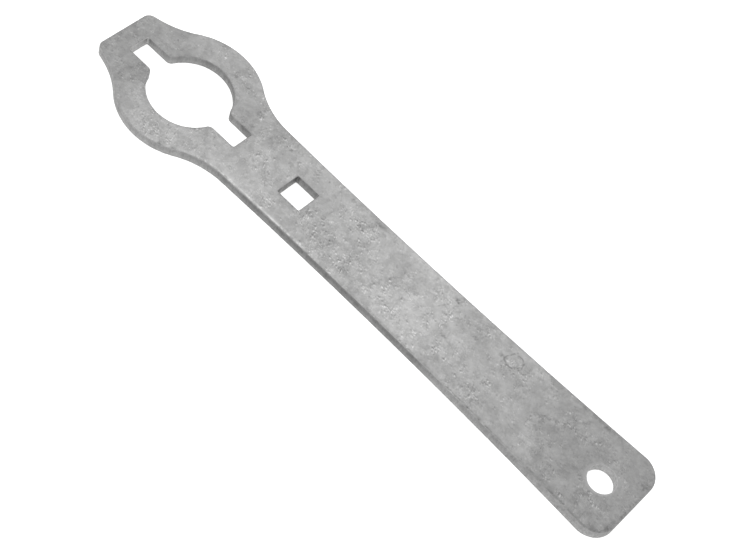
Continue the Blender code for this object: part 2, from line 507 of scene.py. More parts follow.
@dataclass(frozen=True)
class Relief:
    """The unevenness that rolling, cutting and tumbling leave on the plate. It only ever goes into the metal.

    Attributes:
        seed: The seed of the dents and nicks.
        wave_length: The length of the slow waves in the faces.
        wave_depth: The depth of those waves.
        ripple_length: The length of the quicker ripples on them.
        ripple_depth: The depth of the ripples.
        dents: How many dents each face has.
        dent_radius: The least and the greatest radius of a dent.
        dent_depth: The least and the greatest depth of a dent.
        nick_gap: The mean gap between two nicks along a rim.
        nick_length: The least and the greatest length of a nick.
        nick_depth: The least and the greatest depth of a nick.
        wall_wave: The length of the slow waves in a cut wall.
        wall_depth: How far the wall wanders inwards.
        streak_width: The width of the wall's upright streaks.
        tear_width: The width of the ridges in its torn lower part.
        break_line: How far down the wall the torn part begins, and how far that line wanders.
        break_fade: How far the step takes from the sheared upper part to the torn part.
        break_depth: How far the torn part stands back.
    """

    seed: int = 11
    wave_length: float = 30.0 * MM
    wave_depth: float = 0.05 * MM
    ripple_length: float = 7.0 * MM
    ripple_depth: float = 0.014 * MM
    dents: int = 190
    dent_radius: tuple[float, float] = (0.9 * MM, 2.4 * MM)
    dent_depth: tuple[float, float] = (0.012 * MM, 0.05 * MM)
    nick_gap: float = 9.0 * MM
    nick_length: tuple[float, float] = (0.4 * MM, 1.3 * MM)
    nick_depth: tuple[float, float] = (0.05 * MM, 0.22 * MM)
    wall_wave: float = 9.0 * MM
    wall_depth: float = 0.035 * MM
    streak_width: float = 0.9 * MM
    tear_width: float = 1.7 * MM
    break_line: tuple[float, float] = (0.55, 0.12)
    break_fade: float = 0.08
    break_depth: float = 0.05 * MM

    @staticmethod
    def smooth_noise(points: np.ndarray, size: float, layer: float) -> np.ndarray:
        """Smooth noise at flat points, from about -1 to 1.

        Args:
            points: Flat points, one a row.
            size: The size of its features.
            layer: Which layer of the noise. Layers far apart have nothing in common.

        Returns:
            One value for each point.
        """
        return np.array([noise.noise(Vector((x / size, y / size, layer))) for x, y in points])

    def face_depth(self, points: np.ndarray, face: Face, length: float, width: float) -> np.ndarray:
        """How far a face lies below its flat at each point.

        Args:
            points: Flat points, one a row.
            face: Which face.
            length: The plate's length, over which the dents are scattered.
            width: The plate's width, over which the dents are scattered.

        Returns:
            One depth for each point, never under zero.
        """
        layer = 40.0 * face.value
        waves = self.smooth_noise(points, self.wave_length, layer)
        ripples = self.smooth_noise(points, self.ripple_length, layer + 9.0)
        depth = self.wave_depth * (0.5 + 0.5 * np.clip(waves, -1, 1))
        depth += self.ripple_depth * (0.5 + 0.5 * np.clip(ripples, -1, 1))
        chance = np.random.default_rng(self.seed + face.value)
        places = chance.uniform((-length / 2, -width / 2), (length / 2, width / 2), (self.dents, 2))
        radii = chance.uniform(*self.dent_radius, self.dents)
        depths = chance.uniform(*self.dent_depth, self.dents)
        for place, radius, deepest in zip(places, radii, depths):
            near = np.abs(points - place).max(axis=1) < 2.5 * radius
            apart = ((points[near] - place) ** 2).sum(axis=1) / radius**2
            depth[near] += deepest * np.exp(-2 * apart)
        return depth

    def nick_depths(self, loop: EdgeLoop, face: Face) -> np.ndarray:
        """How deep the nicks along one rim of a loop are at each of its points.

        Args:
            loop: The loop.
            face: The face whose rim it is.

        Returns:
            One depth for each point of the loop.
        """
        around = loop.travelled[-1] + loop.travelled[1]
        count = round(around / self.nick_gap)
        chance = np.random.default_rng([self.seed, len(loop.points), face.value + 1])
        places = chance.uniform(0, around, count)
        lengths = chance.uniform(*self.nick_length, count)
        depths = chance.uniform(0, 1, count) ** 2 * (self.nick_depth[1] - self.nick_depth[0])
        found = np.zeros(len(loop.points))
        for place, length, deepest in zip(places, lengths, depths + self.nick_depth[0]):
            apart = np.abs(loop.travelled - place)
            apart = np.minimum(apart, around - apart) / length
            found = np.maximum(found, deepest * np.exp(-2 * apart**2))
        return found

    def wall_inset(self, loop: EdgeLoop, down: float) -> np.ndarray:
        """How far a cut wall stands back from its true line.

        Args:
            loop: The loop of the wall.
            down: How far down the wall, from 0 at the top face to 1 at the underside.

        Returns:
            One inset for each point of the loop.
        """
        slow = self.smooth_noise(loop.points, self.wall_wave, 3.0)
        streak = self.smooth_noise(loop.points, self.streak_width, 0.8 * down)
        torn = self.smooth_noise(loop.points, self.tear_width, 9.0 * down)
        line, wander = self.break_line
        below = np.clip((down - (line + wander * slow)) / self.break_fade, 0, 1)
        inset = self.wall_depth * (0.5 + 0.35 * slow + 0.15 * streak)
        return inset + self.break_depth * below * (0.6 + 0.4 * torn)


# ---------------------------------------------------------------- shader nodes


class Bench:
    """A node tree under construction, with short ways to add the nodes that the finishes share."""

    def __init__(self, tree: bpy.types.NodeTree) -> None:
        """Starts on an empty tree."""
        self.tree = tree
        tree.nodes.clear()

    def add(self, kind: str, **settings: Any) -> bpy.types.Node:
        """Adds a node and gives it its settings.

        Args:
            kind: Blender's name of the node's type.
            settings: The node's settings by name.

        Returns:
            The node.
        """
        node = self.tree.nodes.new(kind)
        for name, value in settings.items():
            setattr(node, name, value)
        return node

    def feed(self, socket: bpy.types.NodeSocket, value: Any) -> None:
        """Links an output to a socket, or sets the socket's own value.

        Args:
            socket: The input socket.
            value: An output, or a plain value.
        """
        if isinstance(value, bpy.types.NodeSocket):
            self.tree.links.new(value, socket)
        else:
            socket.default_value = value

    def math(self, operation: str, *values: Any, clamp: bool = False) -> bpy.types.NodeSocket:
        """The result of a sum on one to three values.

        Args:
            operation: Blender's name of the operation.
            values: Outputs or plain numbers.
            clamp: Whether the result is kept from 0 to 1.

        Returns:
            The output socket.
        """
        node = self.add("ShaderNodeMath", operation=operation, use_clamp=clamp)
        for socket, value in zip(node.inputs, values):
            self.feed(socket, value)
        return node.outputs[0]

    def vector(self, operation: str, *values: Any) -> bpy.types.NodeSocket:
        """The vector that an operation on one to three vectors gives.

        Args:
            operation: Blender's name of the operation.
            values: Outputs or plain vectors.

        Returns:
            The output socket.
        """
        node = self.add("ShaderNodeVectorMath", operation=operation)
        for socket, value in zip(node.inputs, values):
            self.feed(socket, value)
        return node.outputs["Vector"]

    def scaled(self, vector: Any, factor: Any) -> bpy.types.NodeSocket:
        """A vector times a number.

        Args:
            vector: The vector.
            factor: The number.

        Returns:
            The output socket.
        """
        node = self.add("ShaderNodeVectorMath", operation="SCALE")
        self.feed(node.inputs[0], vector)
        self.feed(node.inputs["Scale"], factor)
        return node.outputs["Vector"]

    def centred(self, value: Any) -> bpy.types.NodeSocket:
        """A value from 0 to 1, moved so that it runs from -0.5 to 0.5."""
        return self.math("SUBTRACT", value, 0.5)

    def remap(
        self, value: Any, low: float, high: float, start: float = 0.0, end: float = 1.0
    ) -> bpy.types.NodeSocket:
        """A value carried smoothly from one range to another.

        Args:
            value: The value to carry.
            low: Where the first range starts.
            high: Where the first range ends.
            start: What low becomes.
            end: What high becomes.

        Returns:
            The output socket.
        """
        node = self.add("ShaderNodeMapRange", interpolation_type="SMOOTHSTEP")
        for socket, given in zip(node.inputs, (value, low, high, start, end)):
            self.feed(socket, given)
        return node.outputs["Result"]

    def mix(self, share: Any, first: Any, second: Any, blend: str = "MIX") -> bpy.types.NodeSocket:
        """Two colours mixed.

        Args:
            share: How much of the second colour shows, from 0 to 1.
            first: The first colour.
            second: The second colour.
            blend: Blender's name of the way they mix.

        Returns:
            The output socket.
        """
        node = self.add("ShaderNodeMix", data_type="RGBA", blend_type=blend)
        self.feed(node.inputs["Factor"], share)
        self.feed(node.inputs[6], first)
        self.feed(node.inputs[7], second)
        return node.outputs[2]

    def clouds(
        self, vector: Any, size: Any, detail: float = 2.0, warp: float = 0.0
    ) -> bpy.types.NodeSocket:
        """Noise from 0 to 1 whose blots are about that size.

        Args:
            vector: Where the noise is read.
            size: The size of a blot, in the vector's own units.
            detail: How many finer layers it has.
            warp: How far it is pulled out of shape.

        Returns:
            The output socket.
        """
        node = self.add("ShaderNodeTexNoise")
        self.feed(node.inputs["Vector"], vector)
        self.feed(node.inputs["Scale"], self.math("DIVIDE", 1.0, size))
        node.inputs["Detail"].default_value = detail
        node.inputs["Distortion"].default_value = warp
        return node.outputs["Fac"]

    def pulled(self, vector: Any, frequency: Any, detail: float, reach: Any) -> bpy.types.NodeSocket:
        """A vector pulled about by noise, which makes what is read there ragged.

        Args:
            vector: The vector.
            frequency: How many times the noise changes in one unit.
            detail: How many finer layers the noise has.
            reach: How far the vector is pulled.

        Returns:
            The output socket.
        """
        ragged = self.add("ShaderNodeTexNoise")
        self.feed(ragged.inputs["Vector"], vector)
        self.feed(ragged.inputs["Scale"], frequency)
        ragged.inputs["Detail"].default_value = detail
        pull = self.vector("SUBTRACT", ragged.outputs["Color"], (0.5, 0.5, 0.5))
        return self.vector("ADD", vector, self.scaled(pull, reach))

    def cells(self, vector: Any, size: Any, flat: bool) -> tuple[bpy.types.Node, bpy.types.Node]:
        """Scattered cells, each with three random numbers of its own.

        Args:
            vector: Where the cells are read.
            size: Their size.
            flat: Whether they lie in the XY plane, so that depth changes nothing.

        Returns:
            The node of the cells, and the one that puts out the numbers as Red, Green and Blue.
        """
        cells = self.add("ShaderNodeTexVoronoi", voronoi_dimensions="2D" if flat else "3D")
        self.feed(cells.inputs["Vector"], vector)
        self.feed(cells.inputs["Scale"], self.math("DIVIDE", 1.0, size))
        chance = self.add("ShaderNodeSeparateColor")
        self.feed(chance.inputs[0], cells.outputs["Color"])
        return cells, chance

    def split(self, vector: Any) -> bpy.types.Node:
        """The node that puts out a vector's X, Y and Z.

        Args:
            vector: The vector.

        Returns:
            The node.
        """
        node = self.add("ShaderNodeSeparateXYZ")
        self.feed(node.inputs[0], vector)
        return node

    def turned(self, vector: Any, angle: Any) -> bpy.types.NodeSocket:
        """A vector turned about Z.

        Args:
            vector: The vector.
            angle: How far it is turned.

        Returns:
            The output socket.
        """
        node = self.add("ShaderNodeVectorRotate", rotation_type="Z_AXIS")
        self.feed(node.inputs["Vector"], vector)
        self.feed(node.inputs["Angle"], angle)
        return node.outputs["Vector"]

    def trace(self, name: Trace) -> bpy.types.NodeSocket:
        """What the mesh holds under that name."""
        return self.add("ShaderNodeAttribute", attribute_name=name.value).outputs["Fac"]

    def use(self, group: bpy.types.NodeTree, **values: Any) -> bpy.types.Node:
        """Places a node group, with its inputs by name and spaces as underscores.

        Args:
            group: The group.
            values: An output or a plain value for each input.

        Returns:
            The placed node.
        """
        node = self.add("ShaderNodeGroup", node_tree=group)
        for name, value in values.items():
            self.feed(node.inputs[name.replace("_", " ")], value)
        return node

    def millimetres(self) -> bpy.types.NodeSocket:
        """The piece's own coordinates in millimetres."""
        return self.scaled(self.add("ShaderNodeTexCoord").outputs["Object"], 1 / MM)


class EffectGroups:
    """The effects that the plate's finishes share, each built once as a node group."""

    def __init__(self) -> None:
        """Builds every group."""
        self.clouding = self._clouding()
        self.flecks = self._flecks()
        self.pits = self._pits()
        self.scratches = self._scratches()
        self.burnish = self._burnish()

    @staticmethod
    def _start(name: str, inputs: dict[str, Any], outputs: dict[str, str]) -> tuple[Bench, Any, Any]:
        """Starts a group with its sockets.

        Args:
            name: The group's name.
            inputs: The default of each input: None for a vector, a tuple for a colour, else a number.
            outputs: The socket type of each output.

        Returns:
            The bench, the group's input node and its output node.
        """
        tree = bpy.data.node_groups.new(name, "ShaderNodeTree")
        bench = Bench(tree)
        for label, default in inputs.items():
            if default is None:
                tree.interface.new_socket(label, in_out="INPUT", socket_type="NodeSocketVector")
                continue
            kind = "NodeSocketColor" if isinstance(default, tuple) else "NodeSocketFloat"
            socket = tree.interface.new_socket(label, in_out="INPUT", socket_type=kind)
            socket.default_value = default
        for label, kind in outputs.items():
            tree.interface.new_socket(label, in_out="OUTPUT", socket_type=kind)
        return bench, bench.add("NodeGroupInput"), bench.add("NodeGroupOutput")

    def _clouding(self) -> bpy.types.NodeTree:
        """Cloudy mottling.

        Returns:
            The group. It puts out the soft part as Tone, the crisp one as Flakes and the finest as Grain,
            each from 0 to 1.
        """
        bench, given, made = self._start(
            "zinc_clouding",
            {"Vector": None, "Cloud Size": 24.0, "Blotch Size": 6.0, "Flake Size": 2.2, "Grain Size": 0.8},
            {"Tone": "NodeSocketFloat", "Flakes": "NodeSocketFloat", "Grain": "NodeSocketFloat"},
        )
        at = given.outputs["Vector"]
        cloud = bench.clouds(at, given.outputs["Cloud Size"], detail=3.0, warp=0.6)
        blotch = bench.clouds(at, given.outputs["Blotch Size"], detail=4.0, warp=0.9)
        grain = bench.clouds(at, given.outputs["Grain Size"], detail=2.0, warp=0.5)
        broad = bench.math("MULTIPLY_ADD", bench.centred(cloud), 1.1, 0.5)
        patches = bench.remap(blotch, 0.38, 0.6, start=-0.17, end=0.17)
        bench.feed(made.inputs["Tone"], bench.math("ADD", patches, broad, clamp=True))
        large = self._flakes(bench, at, given.outputs["Flake Size"])
        small = self._flakes(bench, at, bench.math("MULTIPLY", given.outputs["Flake Size"], 0.42))
        mixed = bench.math("MULTIPLY_ADD", large, 0.6, bench.math("MULTIPLY", small, 0.4))
        bench.feed(made.inputs["Flakes"], mixed)
        bench.feed(made.inputs["Grain"], grain)
        return bench.tree

    @staticmethod
    def _flakes(bench: Bench, at: Any, size: Any) -> bpy.types.NodeSocket:
        """Ragged flakes about that size, each with a value of its own from 0 to 1.

        Args:
            bench: The bench of the group that holds them.
            at: Where they are read.
            size: Their size.

        Returns:
            The output socket.
        """
        frequency, reach = bench.math("DIVIDE", 1.6, size), bench.math("MULTIPLY", size, 2.4)
        ragged = bench.pulled(at, frequency, detail=3.0, reach=reach)
        _, chance = bench.cells(ragged, size, flat=False)
        return chance.outputs["Red"]

    def _flecks(self) -> bpy.types.NodeTree:
        """Ragged small flecks where they are let in. Mask is 1 in a fleck.

        Returns:
            The group.
        """
        bench, given, made = self._start(
            "ragged_flecks",
            {"Vector": None, "Fleck Size": 1.35, "Crowding": 0.5},
            {"Mask": "NodeSocketFloat"},
        )
        fleck = bench.clouds(given.outputs["Vector"], given.outputs["Fleck Size"], detail=1.0, warp=1.6)
        least = bench.math("MULTIPLY_ADD", given.outputs["Crowding"], -0.14, 0.71)
        above = bench.math("DIVIDE", bench.math("SUBTRACT", fleck, least), 0.1, clamp=True)
        bench.feed(made.inputs["Mask"], above)
        return bench.tree

    def _pits(self) -> bpy.types.NodeTree:
        """Scattered pits, some larger than others. Mask is 1 in a pit.

        Returns:
            The group.
        """
        bench, given, made = self._start(
            "scattered_pits",
            {"Vector": None, "Cell Size": 2.0, "Pit Size": 0.4, "Share": 0.3},
            {"Mask": "NodeSocketFloat"},
        )
        reach = bench.math("MULTIPLY", given.outputs["Pit Size"], 4.0)
        ragged = bench.pulled(given.outputs["Vector"], 1.6, detail=2.0, reach=reach)
        cells, chance = bench.cells(ragged, given.outputs["Cell Size"], flat=True)
        apart = bench.math("MULTIPLY", cells.outputs["Distance"], given.outputs["Cell Size"])
        grown = bench.math("MULTIPLY_ADD", chance.outputs["Green"], 0.9, 0.35)
        radius = bench.math("MULTIPLY", grown, given.outputs["Pit Size"])
        near = bench.math("SUBTRACT", 1.0, bench.math("DIVIDE", apart, radius), clamp=True)
        shown = bench.math("LESS_THAN", chance.outputs["Red"], given.outputs["Share"])
        strength = bench.math("MULTIPLY_ADD", chance.outputs["Blue"], 0.6, 0.4)
        mask = bench.math("MULTIPLY", bench.remap(near, 0.0, 0.6), strength)
        bench.feed(made.inputs["Mask"], bench.math("MULTIPLY", mask, shown))
        return bench.tree

    def _scratches(self) -> bpy.types.NodeTree:
        """Short scratches that lie every way. Mask is 1 in a scratch.

        Returns:
            The group.
        """
        bench, given, made = self._start(
            "short_scratches",
            {"Vector": None, "Cell Size": 9.0, "Length": 6.0, "Width": 0.2, "Share": 0.4},
            {"Mask": "NodeSocketFloat"},
        )
        cells, chance = bench.cells(given.outputs["Vector"], given.outputs["Cell Size"], flat=True)
        local = bench.vector("SUBTRACT", given.outputs["Vector"], cells.outputs["Position"])
        parts = bench.split(bench.turned(local, bench.math("MULTIPLY", chance.outputs["Red"], 2 * pi)))
        along = parts.outputs["X"]
        bend = bench.math("MULTIPLY", bench.math("MULTIPLY", along, along), 0.02)
        across = bench.math("ABSOLUTE", bench.math("ADD", parts.outputs["Y"], bend))
        longest = bench.math("MULTIPLY_ADD", chance.outputs["Blue"], 0.5, 0.25)
        reach = bench.math("MULTIPLY", longest, given.outputs["Length"])
        ends = bench.math("SUBTRACT", 1.0, bench.math("DIVIDE", bench.math("ABSOLUTE", along), reach))
        body = bench.math("SUBTRACT", 1.0, bench.math("DIVIDE", across, given.outputs["Width"]))
        shown = bench.math("LESS_THAN", chance.outputs["Green"], given.outputs["Share"])
        mask = bench.math("MULTIPLY", bench.remap(ends, 0.0, 0.4), bench.remap(body, 0.0, 0.8))
        bench.feed(made.inputs["Mask"], bench.math("MULTIPLY", mask, shown))
        return bench.tree

    def _burnish(self) -> bpy.types.NodeTree:
        """Rims rubbed bright where parts knock together, with a painted highlight on their rounding, mixed
        into the given colour and roughness.

        Returns:
            The group.
        """
        bench, given, made = self._start(
            "rubbed_rim_and_sheen",
            {
                "Vector": None,
                "Rim": 0.0,
                "Colour": (0.4, 0.4, 0.4, 1.0),
                "Bright Colour": (0.5, 0.5, 0.5, 1.0),
                "Roughness": 0.5,
                "Bright Roughness": 0.3,
            },
            {"Colour": "NodeSocketColor", "Roughness": "NodeSocketFloat"},
        )
        patchy = bench.remap(bench.clouds(given.outputs["Vector"], 5.0, detail=3.0), 0.3, 0.62, start=0.35)
        rubbed = bench.math("MULTIPLY", given.outputs["Rim"], patchy)
        colour = bench.mix(rubbed, given.outputs["Colour"], given.outputs["Bright Colour"])
        change = bench.math("SUBTRACT", given.outputs["Bright Roughness"], given.outputs["Roughness"])
        bench.feed(made.inputs["Colour"], colour)
        roughness = bench.math("MULTIPLY_ADD", change, rubbed, given.outputs["Roughness"])
        bench.feed(made.inputs["Roughness"], roughness)
        return bench.tree


def grey(value: float) -> tuple[float, float, float, float]:
    """A neutral grey, a touch warm, as linear colour."""
    return (value * 1.002, value, value * 0.995, 1.0)


# ---------------------------------------------------------------- finishes


@dataclass(frozen=True)
class RubbedZincWithSheen:
    """What the zinc finishes share: their metal, and the rims that are rubbed bright, a brightening that also
    serves as a painted highlight on the rounding.

    Attributes:
        rubbing: How much of a rim is rubbed bright, wear and painted highlight together.
        bright_grey: The grey of a rubbed rim and its painted highlight.
        bright_roughness: The roughness of a rubbed rim.
        metallic: How metallic the zinc is.
        roughness: Its mean roughness.
        roughness_swing: How far the soft mottling takes the roughness.
        bump_depth: The depth of its small bumps.
    """

    rubbing: float = 0.25
    bright_grey: float = 0.47
    bright_roughness: float = 0.36
    metallic: float = 0.9
    roughness: float = 0.44
    roughness_swing: float = 0.16
    bump_depth: float = 0.035 * MM

    def uneven_roughness(self, bench: Bench, tone: Any) -> bpy.types.NodeSocket:
        """The roughness, lower where the soft mottling is light."""
        return bench.math("MULTIPLY_ADD", bench.centred(tone), -self.roughness_swing, self.roughness)

    def finish(
        self, bench: Bench, groups: EffectGroups, place: Any, colour: Any, roughness: Any, height: Any
    ) -> None:
        """Ends the material with its rubbed rims and their painted highlight, its bump, its shader and its
        output.

        Args:
            bench: The material's bench.
            groups: The shared effects.
            place: The coordinates in millimetres.
            colour: The colour away from the rims.
            roughness: The roughness away from the rims.
            height: The height that the bump follows.
        """
        # rubbed rims, with a painted highlight on their rounding
        rim = bench.use(
            groups.burnish,
            Vector=place,
            Rim=bench.math("MULTIPLY", bench.trace(Trace.RIM), self.rubbing),
            Colour=colour,
            Bright_Colour=grey(self.bright_grey),
            Roughness=roughness,
            Bright_Roughness=self.bright_roughness,
        )
        bump = bench.add("ShaderNodeBump")
        bump.inputs["Distance"].default_value = self.bump_depth
        bench.feed(bump.inputs["Height"], height)
        shader = bench.add("ShaderNodeBsdfPrincipled")
        shader.inputs["Metallic"].default_value = self.metallic
        bench.feed(shader.inputs["Base Color"], rim.outputs["Colour"])
        bench.feed(shader.inputs["Roughness"], rim.outputs["Roughness"])
        bench.feed(shader.inputs["Normal"], bump.outputs["Normal"])
        output = bench.add("ShaderNodeOutputMaterial")
        bench.feed(output.inputs["Surface"], shader.outputs["BSDF"])


@dataclass(frozen=True)
class ZincFace(RubbedZincWithSheen):
    """The tumbled zinc of the two flat faces: cloudy, with light and dark flecks that paint the highlight and
    shade of small dings, pitted and scratched.

    Attributes:
        tone_places: Places along the plate, in millimetres from its middle.
        greys_with_sheen: The zinc's mean grey at each place, which also holds a painted sheen that is
            lightest near x = 30 and fades towards both ends.
        tone_wander: How far along the plate the mottling shifts those places, in millimetres.
        clouding: How far the soft mottling takes the grey each way.
        flaking: How far the crisp mottling takes it from end to end, on smooth and on battered metal.
        graining: How far the finest mottling takes it, on smooth and on battered metal.
        fleck_highlight: How much lighter a light fleck is: the painted highlight of a small ding.
        fleck_shade: How much darker a dark fleck is: the painted shade of the same ding.
        ding_throw: The way from a dark fleck to its light one, in millimetres, so that each ding's painted
            shade lies beside its painted highlight.
        moved_aside: How far some effects are read from their place, so that they don't follow the others.
        pit_depth: How much darker a pit is.
        grain_height: How high the finest mottling stands, as a share of the bumps' depth.
        fleck_height: How high a light fleck stands, as the same share.
        long_scratches: How strongly the long scratches show.
        scratch_grey: The grey of the scratches.
        stain_grey: The grey of the stains.
        stain_roughness: How much rougher a stain or a dark fleck is.
        countersink_wear_and_sheen_grey: The grey of the countersink: burnished zinc, with the painted light
            of its slope.
        countersink_share: How much of that grey covers the countersink.
        ring_centre: The middle of the ring-shaped press mark on the top face, in millimetres.
        ring_radius: That mark's radius, in millimetres.
        ring_width: How wide its line is, in millimetres.
        ring_wander: How far its line wanders each way, in millimetres.
        ring_waves: How many times it wanders in a millimetre.
        ring_turn: How far its long axis is turned from the plate's.
        ring_squash: What its length and its width are divided by.
    """

    tone_places: tuple[float, ...] = (
        -152.0, -126.0, -110.0, -75.0, -30.0, 0.0, 30.0, 52.0, 66.0, 80.0, 100.0, 114.0, 126.0, 152.0
    )
    greys_with_sheen: tuple[float, ...] = (
        0.35, 0.376, 0.415, 0.412, 0.415, 0.432, 0.47, 0.42, 0.42, 0.385, 0.372, 0.352, 0.333, 0.342
    )
    tone_wander: float = 14.0
    clouding: float = 0.14
    flaking: tuple[float, float] = (0.228, 0.513)
    graining: tuple[float, float] = (0.15, 0.75)
    fleck_highlight: float = 0.56
    fleck_shade: float = 0.2
    ding_throw: tuple[float, float, float] = (0.8, -0.6, 0.0)
    moved_aside: tuple[float, float, float] = (31.0, 17.0, 0.0)
    pit_depth: float = 0.4
    grain_height: float = 0.35
    fleck_height: float = 0.5
    long_scratches: float = 0.22
    scratch_grey: float = 0.24
    stain_grey: float = 0.17
    stain_roughness: float = 0.15
    countersink_wear_and_sheen_grey: float = 0.45
    countersink_share: float = 0.6
    ring_centre: tuple[float, float, float] = (75.4, 12.7, 4.8)
    ring_radius: float = 3.6
    ring_width: float = 0.9
    ring_wander: float = 2.5
    ring_waves: float = 0.34
    ring_turn: float = pi / 4
    ring_squash: tuple[float, float, float] = (0.86, 1.16, 1.0)

    def make(self, groups: EffectGroups) -> bpy.types.Material:
        """Builds the material.

        Args:
            groups: The shared effects.

        Returns:
            The material.
        """
        material = bpy.data.materials.new("tumbled_zinc_face")
        material.use_nodes = True
        bench = Bench(material.node_tree)
        place = bench.millimetres()
        shifted = bench.vector("ADD", place, self.moved_aside)
        clouding = bench.use(groups.clouding, Vector=place)
        tone, grain = clouding.outputs["Tone"], clouding.outputs["Grain"]
        battered = self._battered(bench, shifted)
        light = bench.use(groups.flecks, Vector=place, Crowding=battered).outputs["Mask"]
        beside = bench.vector("ADD", place, self.ding_throw)
        dark = bench.use(groups.flecks, Vector=beside, Crowding=battered).outputs["Mask"]
        pits = bench.use(groups.pits, Vector=shifted, Cell_Size=6.5, Pit_Size=0.5, Share=0.3).outputs["Mask"]
        swing = self._swing(bench, clouding, battered)
        # painted highlight and shade of small dings: light flecks, and their dark partners thrown aside
        swing = bench.math("MULTIPLY_ADD", light, self.fleck_highlight, swing)
        swing = bench.math("MULTIPLY_ADD", dark, -self.fleck_shade, swing)
        swing = bench.math("MULTIPLY_ADD", pits, -self.pit_depth, swing)
        # the mean grey carries a painted sheen, lightest near x = 30 and darker towards the ends
        colour = bench.mix(1.0, self._grey_and_sheen_along(bench, place, tone), swing, "MULTIPLY")

        scored = self._scored(bench, groups, place, shifted)
        uneven = bench.remap(clouding.outputs["Flakes"], 0.7, 0.3, start=0.45, end=1.1)
        stained = bench.math("MULTIPLY", bench.trace(Trace.STAIN), uneven, clamp=True)
        colour = bench.mix(scored, colour, grey(self.scratch_grey))
        colour = bench.mix(stained, colour, grey(self.stain_grey))
        # the countersink's ring is lighter: burnished zinc with the painted light of its slope
        sunk = bench.math("MULTIPLY", bench.trace(Trace.COUNTERSINK), self.countersink_share)
        colour = bench.mix(sunk, colour, grey(self.countersink_wear_and_sheen_grey))

        dull = bench.math("MAXIMUM", dark, stained)
        roughness = self.uneven_roughness(bench, tone)
        roughness = bench.math("MULTIPLY_ADD", dull, self.stain_roughness, roughness)
        holes = bench.math("MAXIMUM", bench.math("MAXIMUM", pits, dark), scored)
        flecks_raised = bench.math("MULTIPLY", light, self.fleck_height)
        raised = bench.math("MULTIPLY_ADD", grain, self.grain_height, flecks_raised)
        height = bench.math("SUBTRACT", raised, holes)
        self.finish(bench, groups, place, colour, roughness, height)
        return material

    def _battered(self, bench: Bench, place: Any) -> bpy.types.NodeSocket:
        """Where the face is battered, from 0, smooth, to 1.

        Args:
            bench: The material's bench.
            place: The coordinates in millimetres.

        Returns:
            The mask output.
        """
        zones = bench.remap(bench.clouds(place, 8.0, detail=4.0, warp=0.8), 0.4, 0.66, end=0.7)
        return bench.math("ADD", zones, bench.trace(Trace.FLECKED), clamp=True)

    def _swing(self, bench: Bench, clouding: bpy.types.Node, battered: Any) -> bpy.types.NodeSocket:
        """What the zinc's mean grey is multiplied by, before its flecks and pits.

        Args:
            bench: The material's bench.
            clouding: The placed clouding group.
            battered: Where the face is battered.

        Returns:
            The output socket.
        """
        swing = bench.math("MULTIPLY_ADD", bench.centred(clouding.outputs["Tone"]), 2 * self.clouding, 1.0)
        for part, (smooth, rough) in (("Flakes", self.flaking), ("Grain", self.graining)):
            reach = bench.math("MULTIPLY_ADD", battered, rough - smooth, smooth)
            swing = bench.math("MULTIPLY_ADD", bench.centred(clouding.outputs[part]), reach, swing)
        # adds the placed patches and the painted highlight and shade along the edges
        return bench.math("ADD", swing, bench.trace(Trace.LIGHTER))

    def _scored(self, bench: Bench, groups: EffectGroups, place: Any, shifted: Any) -> bpy.types.NodeSocket:
        """The scratches and the ring-shaped press mark, as one mask.

        Args:
            bench: The material's bench.
            groups: The shared effects.
            place: The coordinates in millimetres.
            shifted: The same, moved aside.

        Returns:
            The mask output.
        """
        short = bench.use(groups.scratches, Vector=place, Cell_Size=7.0, Length=3.0, Width=0.5, Share=0.35)
        long = bench.use(groups.scratches, Vector=shifted, Cell_Size=26.0, Length=14.0, Width=0.3, Share=0.4)
        worn = bench.remap(bench.clouds(shifted, 1.1, detail=1.0), 0.4, 0.6, start=0.05, end=0.5)
        marks = bench.math(
            "MAXIMUM",
            bench.math("MULTIPLY", short.outputs["Mask"], worn),
            bench.math("MULTIPLY", long.outputs["Mask"], self.long_scratches),
        )
        return bench.math("MAXIMUM", marks, self._ring(bench, place))

    def _ring(self, bench: Bench, place: Any) -> bpy.types.NodeSocket:
        """The ring-shaped press mark, oval, uneven and broken.

        Args:
            bench: The material's bench.
            place: The coordinates in millimetres.

        Returns:
            The mask output.
        """
        wander = bench.add("ShaderNodeTexNoise")
        bench.feed(wander.inputs["Vector"], place)
        wander.inputs["Scale"].default_value = self.ring_waves
        from_middle = bench.vector("SUBTRACT", place, self.ring_centre)
        full_reach = (2 * self.ring_wander, 2 * self.ring_wander, 0.0)
        pulled = bench.vector("MULTIPLY_ADD", wander.outputs["Color"], full_reach, from_middle)
        centred = bench.vector("SUBTRACT", pulled, (self.ring_wander, self.ring_wander, 0.0))
        turned = bench.turned(centred, -self.ring_turn)
        apart = bench.add("ShaderNodeVectorMath", operation="LENGTH")
        bench.feed(apart.inputs[0], bench.vector("MULTIPLY", turned, self.ring_squash))
        off_line = bench.math("ABSOLUTE", bench.math("SUBTRACT", apart.outputs["Value"], self.ring_radius))
        line = bench.remap(off_line, self.ring_width, 0.1 * self.ring_width)
        broken = bench.remap(bench.clouds(place, 1.6), 0.35, 0.55, start=0.2, end=0.85)
        return bench.math("MULTIPLY", line, broken)

